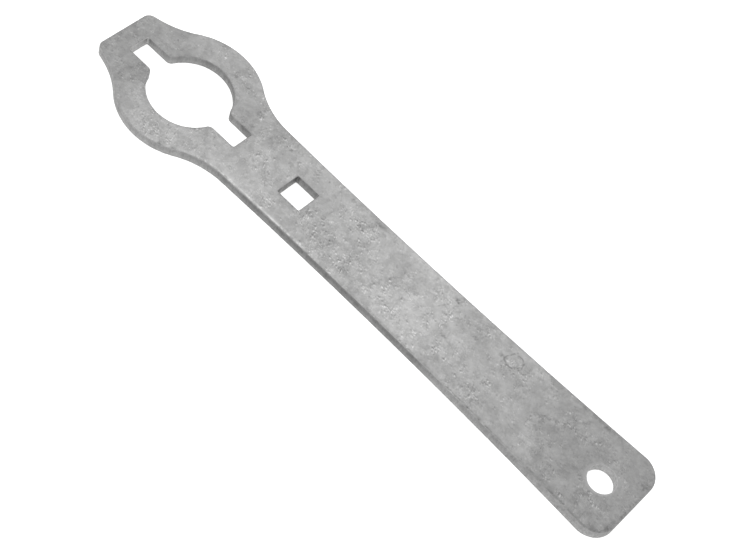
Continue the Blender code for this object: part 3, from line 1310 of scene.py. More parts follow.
    def _grey_and_sheen_along(self, bench: Bench, place: Any, tone: Any) -> bpy.types.NodeSocket:
        """The mean grey along the plate, with its painted sheen, whose changes wander with the mottling.

        Args:
            bench: The material's bench.
            place: The coordinates in millimetres.
            tone: The soft mottling, from 0 to 1.

        Returns:
            The colour output.
        """
        x = bench.math("MULTIPLY_ADD", bench.centred(tone), self.tone_wander, bench.split(place).outputs["X"])
        start, end = self.tone_places[0], self.tone_places[-1]
        share = bench.math("DIVIDE", bench.math("SUBTRACT", x, start), end - start, clamp=True)
        ramp = bench.add("ShaderNodeValToRGB")
        stops = ramp.color_ramp.elements
        while len(stops) < len(self.greys_with_sheen):
            stops.new(0.5)
        for stop, place_along, mean in zip(stops, self.tone_places, self.greys_with_sheen):
            stop.position = (place_along - start) / (end - start)
            stop.color = grey(mean)
        bench.feed(ramp.inputs["Fac"], share)
        return ramp.outputs["Color"]


@dataclass(frozen=True)
class ShearedWall(RubbedZincWithSheen):
    """The cut walls and their rims: zinc whose grey carries painted light and shade, with fine upright
    streaks, and rims and bumps of its own.

    Attributes:
        dark: The wall's grey where its painted shading is 0.
        light: Its grey where its painted shading is 1.
        swing: How far the mottling takes the tone each way.
        streaking: How far the streaks take the grey.
        upright: How much the streaks are drawn out along Z, as what Z is multiplied by.
        corner_shading_grey: The grey of the painted shade in a tight corner.
    """

    dark: float = 0.204
    light: float = 0.62
    swing: float = 0.22
    streaking: float = 0.3
    upright: float = 0.35
    corner_shading_grey: float = 0.16
    rubbing: float = 0.22
    bright_grey: float = 0.5
    roughness: float = 0.47
    roughness_swing: float = 0.2
    bump_depth: float = 0.05 * MM

    def make(self, groups: EffectGroups) -> bpy.types.Material:
        """Builds the material.

        Args:
            groups: The shared effects.

        Returns:
            The material.
        """
        material = bpy.data.materials.new("sheared_zinc_wall")
        material.use_nodes = True
        bench = Bench(material.node_tree)
        place = bench.millimetres()
        stretched = bench.vector("MULTIPLY", place, (1.0, 1.0, self.upright))
        clouding = bench.use(
            groups.clouding,
            Vector=stretched,
            Cloud_Size=14.0,
            Blotch_Size=3.0,
            Flake_Size=2.0,
            Grain_Size=0.6,
        )
        tone, grain = clouding.outputs["Tone"], clouding.outputs["Grain"]
        uneven = bench.math("SUBTRACT", bench.math("ADD", tone, clouding.outputs["Flakes"]), 1.0)
        # the painted wall shading picks the grey between dark and light; the mottling moves it
        mottled = bench.math("MULTIPLY_ADD", uneven, self.swing, bench.trace(Trace.WALL_TONE), clamp=True)
        colour = bench.mix(mottled, grey(self.dark), grey(self.light))
        streaked = bench.math("MULTIPLY_ADD", bench.centred(grain), 2 * self.streaking, 1.0)
        colour = bench.mix(1.0, colour, streaked, "MULTIPLY")
        # painted shade: tight inner corners are darkened towards this grey
        colour = bench.mix(bench.trace(Trace.GRIME), colour, grey(self.corner_shading_grey))
        self.finish(bench, groups, place, colour, self.uneven_roughness(bench, tone), height=grain)
        return material


# ---------------------------------------------------------------- the plate


@dataclass(frozen=True)
class Patch:
    """A soft patch of the top face, in millimetres.

    Attributes:
        x: Its middle along the plate.
        y: Its middle across the plate.
        along: Its reach along the plate.
        across: Its reach across the plate.
        strength: How strong it is. Below zero it takes away.
    """

    x: float
    y: float
    along: float
    across: float
    strength: float

    def at(self, points: np.ndarray) -> np.ndarray:
        """How strong the patch is at each flat point."""
        x, y = points[:, 0] / MM - self.x, points[:, 1] / MM - self.y
        return self.strength * np.exp(-((x / self.along) ** 2) - (y / self.across) ** 2)


@dataclass(frozen=True)
class FaceMarks:
    """What wear and plating left on the top face at places of their own, and the painted highlights and shade
    along its edges.

    Attributes:
        lighter: Patches lighter than the rest, or darker below zero. Those beside the edge at -Y from x -77
            to -39 are a painted highlight.
        stains: Dull dark stains.
        flecked: Where the flecks crowd together.
        gleam_places: Places along the plate, in millimetres, of the painted highlight line beside the edge at
            -Y.
        gleam: How much lighter that painted highlight makes the line at each place; below zero it is painted
            shade.
        gleam_waves: How many radians the line's two waves turn in a millimetre.
        gleam_swing: How far the waves take its strength each way.
        gleam_inset: How far the line is from the edge.
        gleam_width: How wide it is.
        rim_shade: How much lighter a face is where it meets a rim. Below zero is darker.
        rim_shade_width: How far that reaches from the rim.
    """

    lighter: tuple[Patch, ...] = (
        # painted highlight beside the edge at -Y: this patch and those at x -77, -65, -53 and -39
        Patch(-62, -15.5, 20, 4, 0.13),
        Patch(-149, -11, 4, 4, -0.08),
        Patch(-77, -17, 4, 3, 0.10),
        Patch(-65, -18.6, 4.5, 1.6, 0.24),
        Patch(-53, -18.8, 3, 1.0, 0.25),
        Patch(-39, -18.8, 3, 1.0, 0.3),
        Patch(-94, -25, 8, 5, 0.09),
        Patch(-86, -22, 9, 6, 0.09),
        Patch(-126, 9, 5, 4, -0.13),
        Patch(-128, -10, 7, 5, -0.08),
        Patch(-131, 20, 7, 5, 0.09),
        Patch(-126, 27, 6, 4, 0.18),
        Patch(-87, 14, 10, 7, -0.14),
        Patch(-70, 12, 12, 7, -0.07),
        Patch(-54, 19, 5, 4, -0.08),
        Patch(-45, 12, 5, 4, -0.08),
        Patch(-30, -17, 9, 4, 0.11),
        Patch(-26, 6, 9, 9, -0.09),
        Patch(-5, -17, 4, 3, 0.13),
        Patch(-5, 2, 5, 5, 0.07),
        Patch(5, -16, 8, 6, -0.14),
        Patch(18, -19, 4, 3, -0.10),
        Patch(-6, 16, 4, 3, -0.10),
        Patch(18, 1, 6, 6, -0.08),
        Patch(29, -6, 5, 12, 0.07),
        Patch(31, 9, 5, 6, 0.09),
        Patch(55, 12, 6, 5, -0.04),
        Patch(54, -16, 4, 4, -0.10),
        Patch(61, -12, 7, 7, -0.12),
        Patch(67, -19, 4, 3, 0.14),
        Patch(72, -3, 5, 6, -0.10),
        Patch(78, -13, 6, 6, -0.11),
        Patch(90, -10, 5, 8, 0.06),
        Patch(82, 18, 9, 3, 0.10),
        Patch(93, 13, 5, 4, 0.06),
        Patch(106, -3, 7, 6, -0.11),
        Patch(103, -14, 7, 6, 0.15),
        Patch(120, 13, 4, 4, 0.08),
        Patch(122, 2, 6, 6, -0.05),
        Patch(127, -13, 5, 5, 0.13),
        Patch(127, 14, 5, 5, 0.09),
        Patch(73.5, 10.6, 0.6, 0.7, 0.50),
        Patch(75.4, 10.2, 0.7, 0.6, 0.50),
        Patch(145, 6, 4, 9, 0.09),
        Patch(146, -12, 4, 5, -0.04),
    )
    stains: tuple[Patch, ...] = (
        Patch(151, -14, 1.6, 3.0, 0.9),
        Patch(150, 12, 1.7, 2.4, 0.75),
        Patch(151.6, 1, 0.8, 2.5, 0.5),
        Patch(151.6, -7, 0.7, 2.0, 0.45),
        Patch(122, 20.6, 5, 1.0, 0.6),
        Patch(110, 20.3, 6, 0.9, 0.35),
        Patch(146, -20, 3, 1.6, 0.5),
        Patch(100.5, 3, 2.2, 1.5, 0.45),
        Patch(42.0, 15.0, 1.2, 0.9, 0.8),
        Patch(40.0, 16.0, 1.0, 0.7, 0.6),
        Patch(50, 10.5, 2.0, 1.6, 0.35),
        Patch(57, 8, 2.6, 1.6, 0.35),
        Patch(47.5, -2, 1.6, 0.6, 0.45),
        Patch(51.5, -3, 1.4, 0.5, 0.6),
        Patch(70, 11, 1.0, 1.0, 0.4),
        Patch(76.0, 16.0, 1.1, 0.9, 0.5),
        Patch(80.1, 11.0, 0.5, 0.5, 0.8),
        Patch(82.4, 11.0, 0.6, 0.6, 0.8),
        Patch(-91, -27.3, 1.1, 0.9, 0.8),
        Patch(-96, -30.3, 1.8, 1.0, 0.6),
        Patch(-59, 14, 0.8, 0.8, 0.7),
        Patch(-23.5, 17.2, 0.7, 0.7, 0.8),
        Patch(-102.5, 22.5, 0.9, 0.9, 0.6),
        Patch(-139.6, 5.4, 1.0, 0.8, 0.6),
        Patch(-7, 17, 4.0, 1.0, 0.5),
        Patch(21, 15, 2.0, 1.5, 0.3),
    )
    flecked: tuple[Patch, ...] = (
        Patch(27, -13, 4, 3, 0.9),
        Patch(43, 7, 2.5, 2, 0.9),
        Patch(50, -10, 4, 3, 0.8),
        Patch(-14, -8, 17, 9, 0.6),
        Patch(-12, 10, 8, 5, 0.5),
        Patch(13, -9, 12, 9, 0.5),
        Patch(-100, -25, 12, 6, 0.5),
        Patch(76, 10, 4, 4, 0.7),
        Patch(-48, -13, 4, 2.5, 0.7),
        Patch(56, 14, 6, 4, 0.6),
        Patch(74, -10, 6, 7, 0.5),
        Patch(138, -15, 8, 5, 0.35),
    )
    gleam_places: tuple[float, ...] = (
        -130, -118, -100, -90, -75, -60, -26, -15, -6, 55, 62, 75, 100, 152
    )
    gleam: tuple[float, ...] = (
        0.0, 0.14, 0.05, 0.12, 0.38, 0.48, 0.55, 0.2, -0.14, -0.18, -0.22, -0.34, -0.2, -0.2
    )
    gleam_waves: tuple[float, float] = (1.9, 0.83)
    gleam_swing: float = 0.45
    gleam_inset: float = 0.5 * MM
    gleam_width: float = 0.6 * MM
    rim_shade: float = -0.12
    rim_shade_width: float = 0.45 * MM

    def gleam_at(self, points: np.ndarray, from_edge: np.ndarray) -> np.ndarray:
        """How much lighter the painted highlight line beside the edge makes each flat point.

        Args:
            points: The flat points.
            from_edge: How far each is from the plate's edge.

        Returns:
            One value for each point.
        """
        x = points[:, 0] / MM
        quick, slow = self.gleam_waves
        strength = np.interp(x, self.gleam_places, self.gleam) * (points[:, 1] < 0)
        uneven = 1.0 + self.gleam_swing * np.sin(quick * x) * np.sin(slow * x + 1.0)
        return uneven * strength * np.exp(-(((from_edge - self.gleam_inset) / self.gleam_width) ** 2))

    def shade_at(self, from_rims: np.ndarray | float) -> np.ndarray | float:
        """How much lighter a face is that far from its nearest rim."""
        return self.rim_shade * np.exp(-((from_rims / self.rim_shade_width) ** 2))


@dataclass
class SpannerPlate:
    """The spanner's one piece: its mesh, built rim by rim and face by face, and its finishes.

    Attributes:
        outline: The flat shape.
        thickness: The plate's thickness.
        relief: Its unevenness.
        rounding: The radius of its tumbled rims.
        rounding_swing: What share of that radius its slow changes take each way.
        rounding_wave: The length of those changes.
        rounding_rows: How many steps a rim's rounding has.
        wall_rows: How many steps a wall has between its two rims.
        top_grid: The spacing of the points in the top face.
        underside_grid: The spacing of the points in the underside.
        rubbed_face: How far the rubbing of a rim reaches over a face.
        rubbed_wall: How far it reaches down a wall.
        countersink_width: How much further than the hang hole its countersink reaches.
        countersink_depth: How deep the countersink is at the hole.
        countersink_shift: How far the countersink is off the hole's middle.
        countersink_contrast: How quickly its finish takes over from the face's.
        marks: What wear left on the top face, with its painted highlights and shade.
        vertices: The mesh's points so far, in blocks.
        traces: What the mesh says about those points, in the same blocks.
        polygons: The mesh's faces so far.
        slots: The number of each face's finish, 0 for the flat faces and 1 for the walls.
    """

    outline: SpannerOutline
    thickness: float
    relief: Relief = field(default_factory=Relief)
    rounding: float = 0.27 * MM
    rounding_swing: float = 0.2
    rounding_wave: float = 6.0 * MM
    rounding_rows: int = 5
    wall_rows: int = 7
    top_grid: float = 0.72 * MM
    underside_grid: float = 1.25 * MM
    rubbed_face: float = 0.25 * MM
    rubbed_wall: float = 0.3 * MM
    countersink_width: float = 1.3 * MM
    countersink_depth: float = 0.14 * MM
    countersink_shift: tuple[float, float] = (-0.5 * MM, -0.45 * MM)
    countersink_contrast: float = 2.5
    marks: FaceMarks = field(default_factory=FaceMarks)
    vertices: list[np.ndarray] = field(default_factory=list)
    traces: dict[Trace, list[np.ndarray]] = field(default_factory=dict)
    polygons: list[tuple[int, ...]] = field(default_factory=list)
    slots: list[int] = field(default_factory=list)

    def build(self) -> bpy.types.Object:
        """Builds the plate's mesh.

        Returns:
            The object, in its place and with no finish yet.
        """
        self.traces = {trace: [] for trace in Trace}
        loops = self._loops()
        rims = [self._add_rim(loop) for loop in loops]
        for face in Face:
            self._add_face(face, [rim[face] for rim in rims])
        mesh = bpy.data.meshes.new("spanner_plate_fine")
        mesh.from_pydata(np.vstack(self.vertices).tolist(), [], self.polygons)
        mesh.polygons.foreach_set("material_index", self.slots)
        mesh.polygons.foreach_set("use_smooth", [True] * len(mesh.polygons))
        for trace, values in self.traces.items():
            attribute = mesh.attributes.new(trace.value, "FLOAT", "POINT")
            attribute.data.foreach_set("value", np.concatenate(values).astype(np.float32))
        mesh.update()
        plate = bpy.data.objects.new("spanner_plate_fine", mesh)
        bpy.context.scene.collection.objects.link(plate)
        weighted = plate.modifiers.new("even_shading", "WEIGHTED_NORMAL")
        weighted.mode = "FACE_AREA"
        LOG.info("%s: %d faces", plate.name, len(mesh.polygons))
        return plate

    def dress(self, plate: bpy.types.Object, groups: EffectGroups) -> None:
        """Gives the plate its finishes.

        Args:
            plate: The object that build() made.
            groups: The shared effects.
        """
        plate.data.materials.append(ZincFace().make(groups))
        plate.data.materials.append(ShearedWall().make(groups))

    def mount(self, plate: bpy.types.Object) -> None:
        """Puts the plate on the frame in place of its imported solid.

        Args:
            plate: The object that build() made.
        """
        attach(plate, ROOT_BODY)
        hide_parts(PLATE_NODE)

    def _loops(self) -> list[EdgeLoop]:
        """The plate's four cut edges.

        Returns:
            The outer edge first, then the holes.
        """
        shape = self.outline
        # painted light and shade of each wall and its rims along the plate, in place of the room's reflection
        side = PaintedWallShading(
            places=(-152, -130, -112, -90, -75, -60, -15, 45, 58, 64, 80, 105, 120, 150),
            rims=(0.34, 0.36, 0.42, 0.38, 0.26, 0.16, 0.03, 0.02, 0.20, 0.34, 0.18, 0.20, 0.30, 0.34),
            walls=(0.32, 0.34, 0.44, 0.42, 0.32, 0.12, 0.12, 0.14, 0.38, 0.46, 0.35, 0.36, 0.41, 0.42),
        )
        opening = PaintedWallShading(
            places=(-142, -141, -130, -119, -112, -105, -99, -86, -76),
            rims=(0.62, 0.34, 0.25, 0.14, 0.14, 0.12, 0.08, 0.14, 0.14),
            walls=(0.72, 0.46, 0.37, 0.24, 0.26, 0.22, 0.12, 0.27, 0.27),
        )
        drive = PaintedWallShading(
            places=(-47.3, -46.5, -45, -42, -35),
            rims=(0.12, 0.14, 0.2, 0.12, 0.08),
            walls=(0.28, 0.38, 0.44, 0.27, 0.2),
            # only the drive hole's tight corners get painted corner shade
            corner_shading_before=-41,
        )
        hang = PaintedWallShading(places=(135,), rims=(0.66,), walls=(0.78,), lower_gain=0.3)
        return [
            EdgeLoop.along("plate_edge", shape.plate_edge(), spacing=0.5 * MM, hole=False, tone=side),
            EdgeLoop.along(
                "slotted_opening", shape.slotted_opening(), spacing=0.32 * MM, hole=True, tone=opening
            ),
            EdgeLoop.along("drive_hole", shape.drive_hole(), spacing=0.2 * MM, hole=True, tone=drive),
            EdgeLoop.along("hang_hole", shape.hang_hole(), spacing=0.35 * MM, hole=True, tone=hang),
        ]

    def _add_vertices(self, points: np.ndarray, **traces: np.ndarray | float) -> np.ndarray:
        """Adds vertices and what the mesh says about them.

        Args:
            points: Their places, one a row.
            traces: A value or one for each point, by the name of its Trace. One left out is 0.

        Returns:
            The new vertices' numbers.
        """
        first = sum(len(block) for block in self.vertices)
        self.vertices.append(points)
        for trace in Trace:
            value = traces.get(trace.name, 0.0)
            self.traces[trace].append(np.broadcast_to(value, len(points)).astype(float))
        return np.arange(first, first + len(points))

    def _countersink(self, points: np.ndarray) -> np.ndarray:
        """How far inside the hang hole's countersink each flat point is, over the countersink's width.

        Args:
            points: The flat points.

        Returns:
            One value for each point: 0 on the countersink's outer edge, and below 0 outside it.
        """
        centre = np.array(self.outline.hang_hole_centre) + np.array(self.countersink_shift)
        radius = self.outline.hang_hole_diameter / 2 + self.countersink_width
        return (radius - np.hypot(*(points - centre).T)) / self.countersink_width

    def _face_depth(self, points: np.ndarray, face: Face) -> np.ndarray:
        """How far the face lies below its flat at each flat point, with the countersink.

        Args:
            points: The flat points.
            face: Which face.

        Returns:
            One depth for each point.
        """
        outline = self.outline
        depth = self.relief.face_depth(points, face, outline.length, outline.head_diameter)
        if face is Face.TOP:
            depth += self.countersink_depth * np.clip(self._countersink(points), 0, 1)
        return depth

    def _countersink_mask(self, points: np.ndarray, face: Face) -> np.ndarray:
        """Where the top face is countersunk, from 0 to 1.

        Args:
            points: The flat points.
            face: Which face.

        Returns:
            One value for each point.
        """
        if face is Face.UNDERSIDE:
            return np.zeros(len(points))
        return np.clip(self._countersink(points) * self.countersink_contrast, 0, 1)

    def _face_traces(self, points: np.ndarray, face: Face) -> dict[str, np.ndarray]:
        """What the mesh says about flat points of a face.

        Args:
            points: The flat points.
            face: Which face.

        Returns:
            One value for each point, by the name of the Trace.
        """
        share = 1.0 if face is Face.TOP else 0.0
        return {
            "LIGHTER": share * sum(patch.at(points) for patch in self.marks.lighter),
            "STAIN": share * np.minimum(sum(patch.at(points) for patch in self.marks.stains), 1.0),
            "FLECKED": share * sum(patch.at(points) for patch in self.marks.flecked),
            "COUNTERSINK": self._countersink_mask(points, face),
        }

    def _add_rim(self, loop: EdgeLoop) -> dict[Face, np.ndarray]:
        """Adds a cut wall with the rounding at its top and at its underside.

        Args:
            loop: The wall's loop.

        Returns:
            The vertex numbers of the row that meets each face.
        """
        steps = self.rounding_rows
        rows = [self._rounding_row(loop, Face.TOP, step / steps) for step in range(steps + 1)]
        first = self.rounding / self.thickness
        for step in range(1, self.wall_rows):
            rows.append(self._wall_row(loop, first + (1 - 2 * first) * step / self.wall_rows))
        rows += [self._rounding_row(loop, Face.UNDERSIDE, step / steps) for step in range(steps, -1, -1)]
        for upper, lower in zip(rows, rows[1:]):
            for near, far in zip(range(len(upper)), [*range(1, len(upper)), 0]):
                self.polygons.append((upper[near], lower[near], lower[far], upper[far]))
                self.slots.append(1)
        LOG.info("%s: %d points round, %d rows", loop.name, len(loop.points), len(rows))
        return {Face.TOP: rows[0], Face.UNDERSIDE: rows[-1]}

    def _rounding_row(self, loop: EdgeLoop, face: Face, turn: float) -> np.ndarray:
        """One row of a rim's rounding.

        Args:
            loop: The wall's loop.
            face: The face that the rounding meets.
            turn: How far round the row is, from 0 on the face to 1 on the wall.

        Returns:
            The row's vertex numbers.
        """
        wobble = self.relief.smooth_noise(loop.points, self.rounding_wave, 5.0 * face.value)
        nick = self.relief.nick_depths(loop, face)
        radius = self.rounding * (1 + self.rounding_swing * wobble) + 0.6 * nick
        angle = turn * pi / 2
        bite = 0.7 * nick * sin(2 * angle)
        wall_end = 0.5 - face.value * (0.5 - self.rounding / self.thickness)
        inset = radius * (1 - sin(angle)) + turn * self.relief.wall_inset(loop, wall_end)
        inset += bite
        flat = loop.points - loop.outward * inset[:, None]
        face_drop = (1 - turn) * self._face_depth(flat, face)
        drop = radius * (1 - cos(angle)) * (self.rounding / radius) ** turn + face_drop
        drop += bite
        height = self.thickness - drop if face is Face.TOP else drop
        down = turn * self.rounding / self.thickness
        traces = self._face_traces(flat, face)
        # painted shade where the face meets its rim
        traces["LIGHTER"] += self.marks.shade_at(0.0)
        return self._add_vertices(
            np.column_stack([flat, height]),
            # brightest halfway round the rounding: rubbed wear with a painted highlight where the rounding
            # catches the light
            RIM=0.5 + 0.5 * sin(2 * angle),
            # painted light and shade of the rim
            WALL_TONE=loop.tone.at(loop.points[:, 0], down if face is Face.TOP else 1 - down),
            GRIME=loop.grime,
            **traces,
        )

    def _wall_row(self, loop: EdgeLoop, down: float) -> np.ndarray:
        """One row of a wall between its rims.

        Args:
            loop: The wall's loop.
            down: How far down the wall, from 0 at the top face to 1 at the underside.

        Returns:
            The row's vertex numbers.
        """
        inset = self.relief.wall_inset(loop, down)
        flat = loop.points - loop.outward * inset[:, None]
        height = np.full(len(flat), self.thickness * (1 - down))
        from_rim = min(down, 1 - down) * self.thickness - self.rounding
        return self._add_vertices(
            np.column_stack([flat, height]),
            RIM=0.5 * np.exp(-((from_rim / self.rubbed_wall) ** 2)),
            # painted light and shade of the wall at this height
            WALL_TONE=loop.tone.at(loop.points[:, 0], down),
            GRIME=loop.grime,
        )

    def _add_face(self, face: Face, rings: list[np.ndarray]) -> None:
        """Fills a face between its rings with triangles of even size.

        Args:
            face: Which face.
            rings: The vertex numbers of the row of each rim that meets the face.
        """
        known = np.vstack(self.vertices)[:, :2]
        ring_points = [known[ring] for ring in rings]
        inner = self._inner_points(face, ring_points)
        rim_distance = self._distances(inner, ring_points)
        depth = self._face_depth(inner, face)
        height = self.thickness - depth if face is Face.TOP else depth
        traces = self._face_traces(inner, face)
        # painted highlight beside the edge at -Y, and painted shade along every rim
        traces["LIGHTER"] += self.marks.gleam_at(inner, self._distances(inner, ring_points[:1]))
        traces["LIGHTER"] += self.marks.shade_at(rim_distance)
        numbers = self._add_vertices(
            np.column_stack([inner, height]),
            RIM=0.5 * np.exp(-((rim_distance / self.rubbed_face) ** 2)),
            **traces,
        )
        places = np.vstack([*ring_points, inner])
        owners = np.concatenate([*rings, numbers])
        edges, start = [], 0
        for ring in rings:
            edges += [(start + i, start + (i + 1) % len(ring)) for i in range(len(ring))]
            start += len(ring)
        scaled = [Vector(point) for point in places / MM]
        triangles = self._triangles(scaled, edges, start, ring_points)
        for triangle in triangles:
            corners = [int(owners[corner]) for corner in triangle]
            self.polygons.append(tuple(corners if face is Face.TOP else corners[::-1]))
            self.slots.append(0)
        LOG.info("%s face: %d triangles", face.name.lower(), len(triangles))

    @staticmethod
    def _distances(points: np.ndarray, rings: list[np.ndarray]) -> np.ndarray:
        """How far each flat point is from the nearest point of a ring.

        Args:
            points: The flat points.
            rings: The flat points of each ring.

        Returns:
            One distance for each point.
        """
        everywhere = np.vstack(rings)
        tree = kdtree.KDTree(len(everywhere))
        for index, (x, y) in enumerate(everywhere):
            tree.insert((x, y, 0.0), index)
        tree.balance()
        return np.array([tree.find((x, y, 0.0))[2] for x, y in points])

    def _inner_points(self, face: Face, rings: list[np.ndarray]) -> np.ndarray:
        """The points of a face away from its rims.

        They are a grid of even triangles, and on the top face close circles round the countersink.

        Args:
            face: Which face.
            rings: The flat points of each ring that bounds the face.

        Returns:
            The flat points, one a row.
        """
        gap = self.top_grid if face is Face.TOP else self.underside_grid
        jitter, grid_to_ring, circle_to_ring, grid_to_circle = 0.12 * gap, 0.62 * gap, 0.3 * gap, 0.55 * gap
        rise = gap * sqrt(3) / 2
        low, high = rings[0].min(axis=0), rings[0].max(axis=0)
        columns = np.arange(low[0], high[0], gap)
        lines = np.arange(low[1], high[1], rise)
        x, y = np.meshgrid(columns, lines)
        x = x + np.where(np.arange(len(lines)) % 2, gap / 2, 0.0)[:, None]
        grid = np.column_stack([x.ravel(), y.ravel()])
        chance = np.random.default_rng(self.relief.seed + 5 + face.value)
        grid += chance.uniform(-jitter, jitter, grid.shape)
        grid = grid[inside(grid, rings)]
        grid = grid[self._distances(grid, rings) > grid_to_ring]
        if face is Face.UNDERSIDE:
            return grid
        circles = self._countersink_circles()
        circles = circles[inside(circles, rings)]
        circles = circles[self._distances(circles, rings) > circle_to_ring]
        grid = grid[self._distances(grid, [circles]) > grid_to_circle]
        return np.vstack([grid, circles])

    def _countersink_circles(self) -> np.ndarray:
        """Close circles of points over the countersink and its outer edge.

        Returns:
            The flat points, one a row.
        """
        from_outer_edge = (-2.0, -1.6, -1.2, -0.8, -0.4, -0.12, 0.12, 0.5)
        spacing = 0.45 * MM
        centre = self.outline.hang_hole_centre + Vector(self.countersink_shift)
        radius = self.outline.hang_hole_diameter / 2 + self.countersink_width
        found = []
        for offset in from_outer_edge:
            circle = radius + offset * MM
            count = round(2 * pi * circle / spacing)
            found += [centre + circle * direction(2 * pi * i / count) for i in range(count)]
        return np.array(found)

    @staticmethod
    def _triangles(
        points: list[Vector], edges: list[tuple[int, int]], ring_count: int, rings: list[np.ndarray]
    ) -> list[tuple[int, int, int]]:
        """Even triangles over the flat points, with those outside the metal left out.

        Args:
            points: The flat points, those of the rings first.
            edges: The edges of the rings, which the triangles keep.
            ring_count: How many of the points belong to rings.
            rings: The flat points of each ring.

        Returns:
            Each triangle's three points, turning left.
        """
        merge_distance = 1e-6
        corners, _, faces, sources, _, _ = delaunay_2d_cdt(points, edges, [], 0, merge_distance)
        owner = [source[0] for source in sources]
        flat = np.array([[corner.x, corner.y] for corner in corners]) * MM
        chosen = np.array([face for face in faces if len(face) == 3])
        owned = np.array(owner)[chosen]
        doubtful = (owned < ring_count).all(axis=1)
        keep = np.ones(len(chosen), bool)
        keep[doubtful] = inside(flat[chosen[doubtful]].mean(axis=1), rings)
        chosen, owned = chosen[keep], owned[keep]
        a, b, c = (flat[chosen[:, k]] for k in range(3))
        left = (b[:, 0] - a[:, 0]) * (c[:, 1] - a[:, 1]) > (b[:, 1] - a[:, 1]) * (c[:, 0] - a[:, 0])
        owned[~left] = owned[~left][:, ::-1]
        return [tuple(row) for row in owned.tolist()]


# ---------------------------------------------------------------- the studio


@dataclass(frozen=True)
class SoftLight:
    """A rectangular soft light that looks at a point of the plate.

    Attributes:
        name: Its name.
        aim: The point that it looks at.
        toward: The way from that point to the light.
        away: How far the light is from the point.
        width: Its width.
        height: Its height.
        brightness: How bright its surface is, on the scale of the room's own light.
    """

    name: str
    aim: tuple[float, float, float]
    toward: tuple[float, float, float]
    away: float
    width: float
    height: float
    brightness: float

    def place(self) -> None:
        """Adds the light to the scene."""
        lamp = bpy.data.lights.new(self.name, "AREA")
        lamp.shape = "RECTANGLE"
        lamp.size = self.width
        lamp.size_y = self.height
        lamp.energy = self.brightness * pi * self.width * self.height
        holder = bpy.data.objects.new(self.name, lamp)
        toward = Vector(self.toward).normalized()
        holder.location = Vector(self.aim) + self.away * toward
        holder.rotation_euler = toward.to_track_quat("Z", "Y").to_euler()
        bpy.context.scene.collection.objects.link(holder)


@dataclass(frozen=True)
class StudioCamera:
    """The camera, by the point that it looks at and the way from which it looks.

    Attributes:
        aim: The point in the middle of its view.
        azimuth: The way it looks, turned from +Y.
        elevation: How steeply it looks down.
        away: How far it is from the point.
        roll: How far it is turned about its own line of sight.
        lens: Its focal length in millimetres, for a sensor 36 mm wide.
    """

    aim: tuple[float, float, float] = (6.14 * MM, -6.47 * MM, 4.8 * MM)
    azimuth: float = radians(-22.82)
    elevation: float = radians(54.85)
    away: float = 691.4 * MM
    roll: float = radians(24.42)
    lens: float = 80.62

    def place(self) -> None:
        """Adds the camera to the scene and makes it the one in use."""
        level = Vector((sin(self.azimuth), cos(self.azimuth), 0.0))
        forward = cos(self.elevation) * level - sin(self.elevation) * Vector((0, 0, 1))
        flat_right = forward.cross(Vector((0, 0, 1))).normalized()
        flat_up = flat_right.cross(forward)
        right = cos(self.roll) * flat_right + sin(self.roll) * flat_up
        up = right.cross(forward)
        turn = Matrix((right, up, -forward)).transposed().to_4x4()
        data = bpy.data.cameras.new("studio_camera")
        data.lens = self.lens
        data.sensor_width = 36.0
        data.clip_start = 10 * MM
        camera = bpy.data.objects.new("studio_camera", data)
        camera.matrix_world = Matrix.Translation(Vector(self.aim) - self.away * forward) @ turn
        bpy.context.scene.collection.objects.link(camera)
        bpy.context.scene.camera = camera


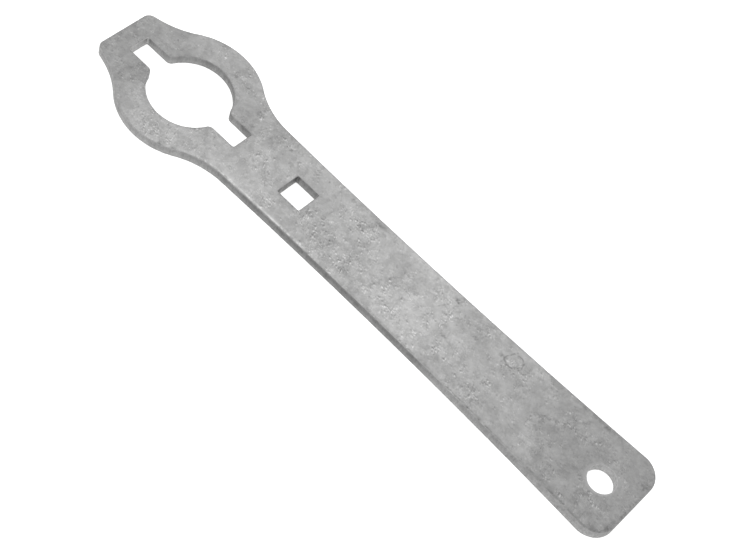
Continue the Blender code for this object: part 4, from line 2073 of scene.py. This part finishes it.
@dataclass(frozen=True)
class Studio:
    """The plain pale floor, the even light all round and the soft lights.

    Attributes:
        floor_size: The length of the floor's sides.
        floor_gap: How far the floor is under the plate.
        floor_grey: The floor's grey.
        floor_glow: How much light the floor gives out.
        floor_lift: How much more of it the camera sees.
        room_light: How bright the room is.
        lights: The soft lights.
    """

    floor_size: float = 6.0
    floor_gap: float = 0.02 * MM
    floor_grey: float = 0.85
    floor_glow: float = 0.25
    floor_lift: float = 0.45
    room_light: float = 0.85
    lights: tuple[SoftLight, ...] = (
        SoftLight(
            "back_softbox",
            aim=(15 * MM, 0.0, 0.0),
            toward=(-0.2, 0.53, 0.82),
            away=1.3,
            width=0.7,
            height=0.7,
            brightness=0.5,
        ),
        SoftLight(
            "front_strip",
            aim=(-42 * MM, -20 * MM, 0.0),
            toward=(-0.28, -0.25, 0.92),
            away=1.2,
            width=0.12,
            height=0.5,
            brightness=3.0,
        ),
        SoftLight(
            "left_softbox",
            aim=(15 * MM, 0.0, 0.0),
            toward=(-0.8, -0.25, 0.5),
            away=1.5,
            width=0.7,
            height=0.9,
            brightness=0.5,
        ),
    )

    def build(self) -> None:
        """Adds the floor, the room's own light and the soft lights."""
        self._floor()
        self._room()
        for light in self.lights:
            light.place()
        LOG.info("studio: floor, room light and %d soft lights", len(self.lights))

    def _floor(self) -> None:
        """A wide flat floor just under the plate."""
        half = self.floor_size / 2
        mesh = bpy.data.meshes.new("studio_floor")
        corners = [(-half, -half, 0), (half, -half, 0), (half, half, 0), (-half, half, 0)]
        mesh.from_pydata(corners, [], [(0, 1, 2, 3)])
        floor = bpy.data.objects.new("studio_floor", mesh)
        floor.location.z = -self.floor_gap
        bpy.context.scene.collection.objects.link(floor)
        material = bpy.data.materials.new("pale_floor")
        material.use_nodes = True
        bench = Bench(material.node_tree)
        paint = bench.add("ShaderNodeBsdfDiffuse")
        paint.inputs["Color"].default_value = (self.floor_grey, self.floor_grey, self.floor_grey, 1.0)
        lift = bench.add("ShaderNodeEmission")
        ray = bench.add("ShaderNodeLightPath").outputs["Is Camera Ray"]
        bench.feed(lift.inputs["Strength"], bench.math("MULTIPLY_ADD", ray, self.floor_lift, self.floor_glow))
        both = bench.add("ShaderNodeAddShader")
        bench.feed(both.inputs[0], paint.outputs[0])
        bench.feed(both.inputs[1], lift.outputs[0])
        output = bench.add("ShaderNodeOutputMaterial")
        bench.feed(output.inputs["Surface"], both.outputs[0])
        mesh.materials.append(material)

    def _room(self) -> None:
        """Even pale light from all round."""
        world = bpy.data.worlds.new("pale_room")
        world.use_nodes = True
        bench = Bench(world.node_tree)
        backdrop = bench.add("ShaderNodeBackground")
        ray = bench.add("ShaderNodeLightPath").outputs["Is Camera Ray"]
        seen = bench.math("MULTIPLY_ADD", ray, 1.0 - self.room_light, self.room_light)
        bench.feed(backdrop.inputs["Strength"], seen)
        backdrop.inputs["Color"].default_value = (1.0, 1.0, 1.0, 1.0)
        output = bench.add("ShaderNodeOutputWorld")
        bench.feed(output.inputs["Surface"], backdrop.outputs[0])
        bpy.context.scene.world = world
        bpy.context.scene.view_settings.view_transform = "Standard"


def main() -> None:
    """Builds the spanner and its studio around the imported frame."""
    logging.basicConfig(level=logging.INFO, format="%(name)s: %(message)s")
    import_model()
    low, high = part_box(PLATE_NODE)
    outline = SpannerOutline(length=high.x - low.x, head_diameter=high.y - low.y)
    spanner = SpannerPlate(outline=outline, thickness=high.z - low.z)
    plate = spanner.build()
    spanner.dress(plate, EffectGroups())
    spanner.mount(plate)
    Studio().build()
    StudioCamera().place()


if __name__ == "__main__":
    main()
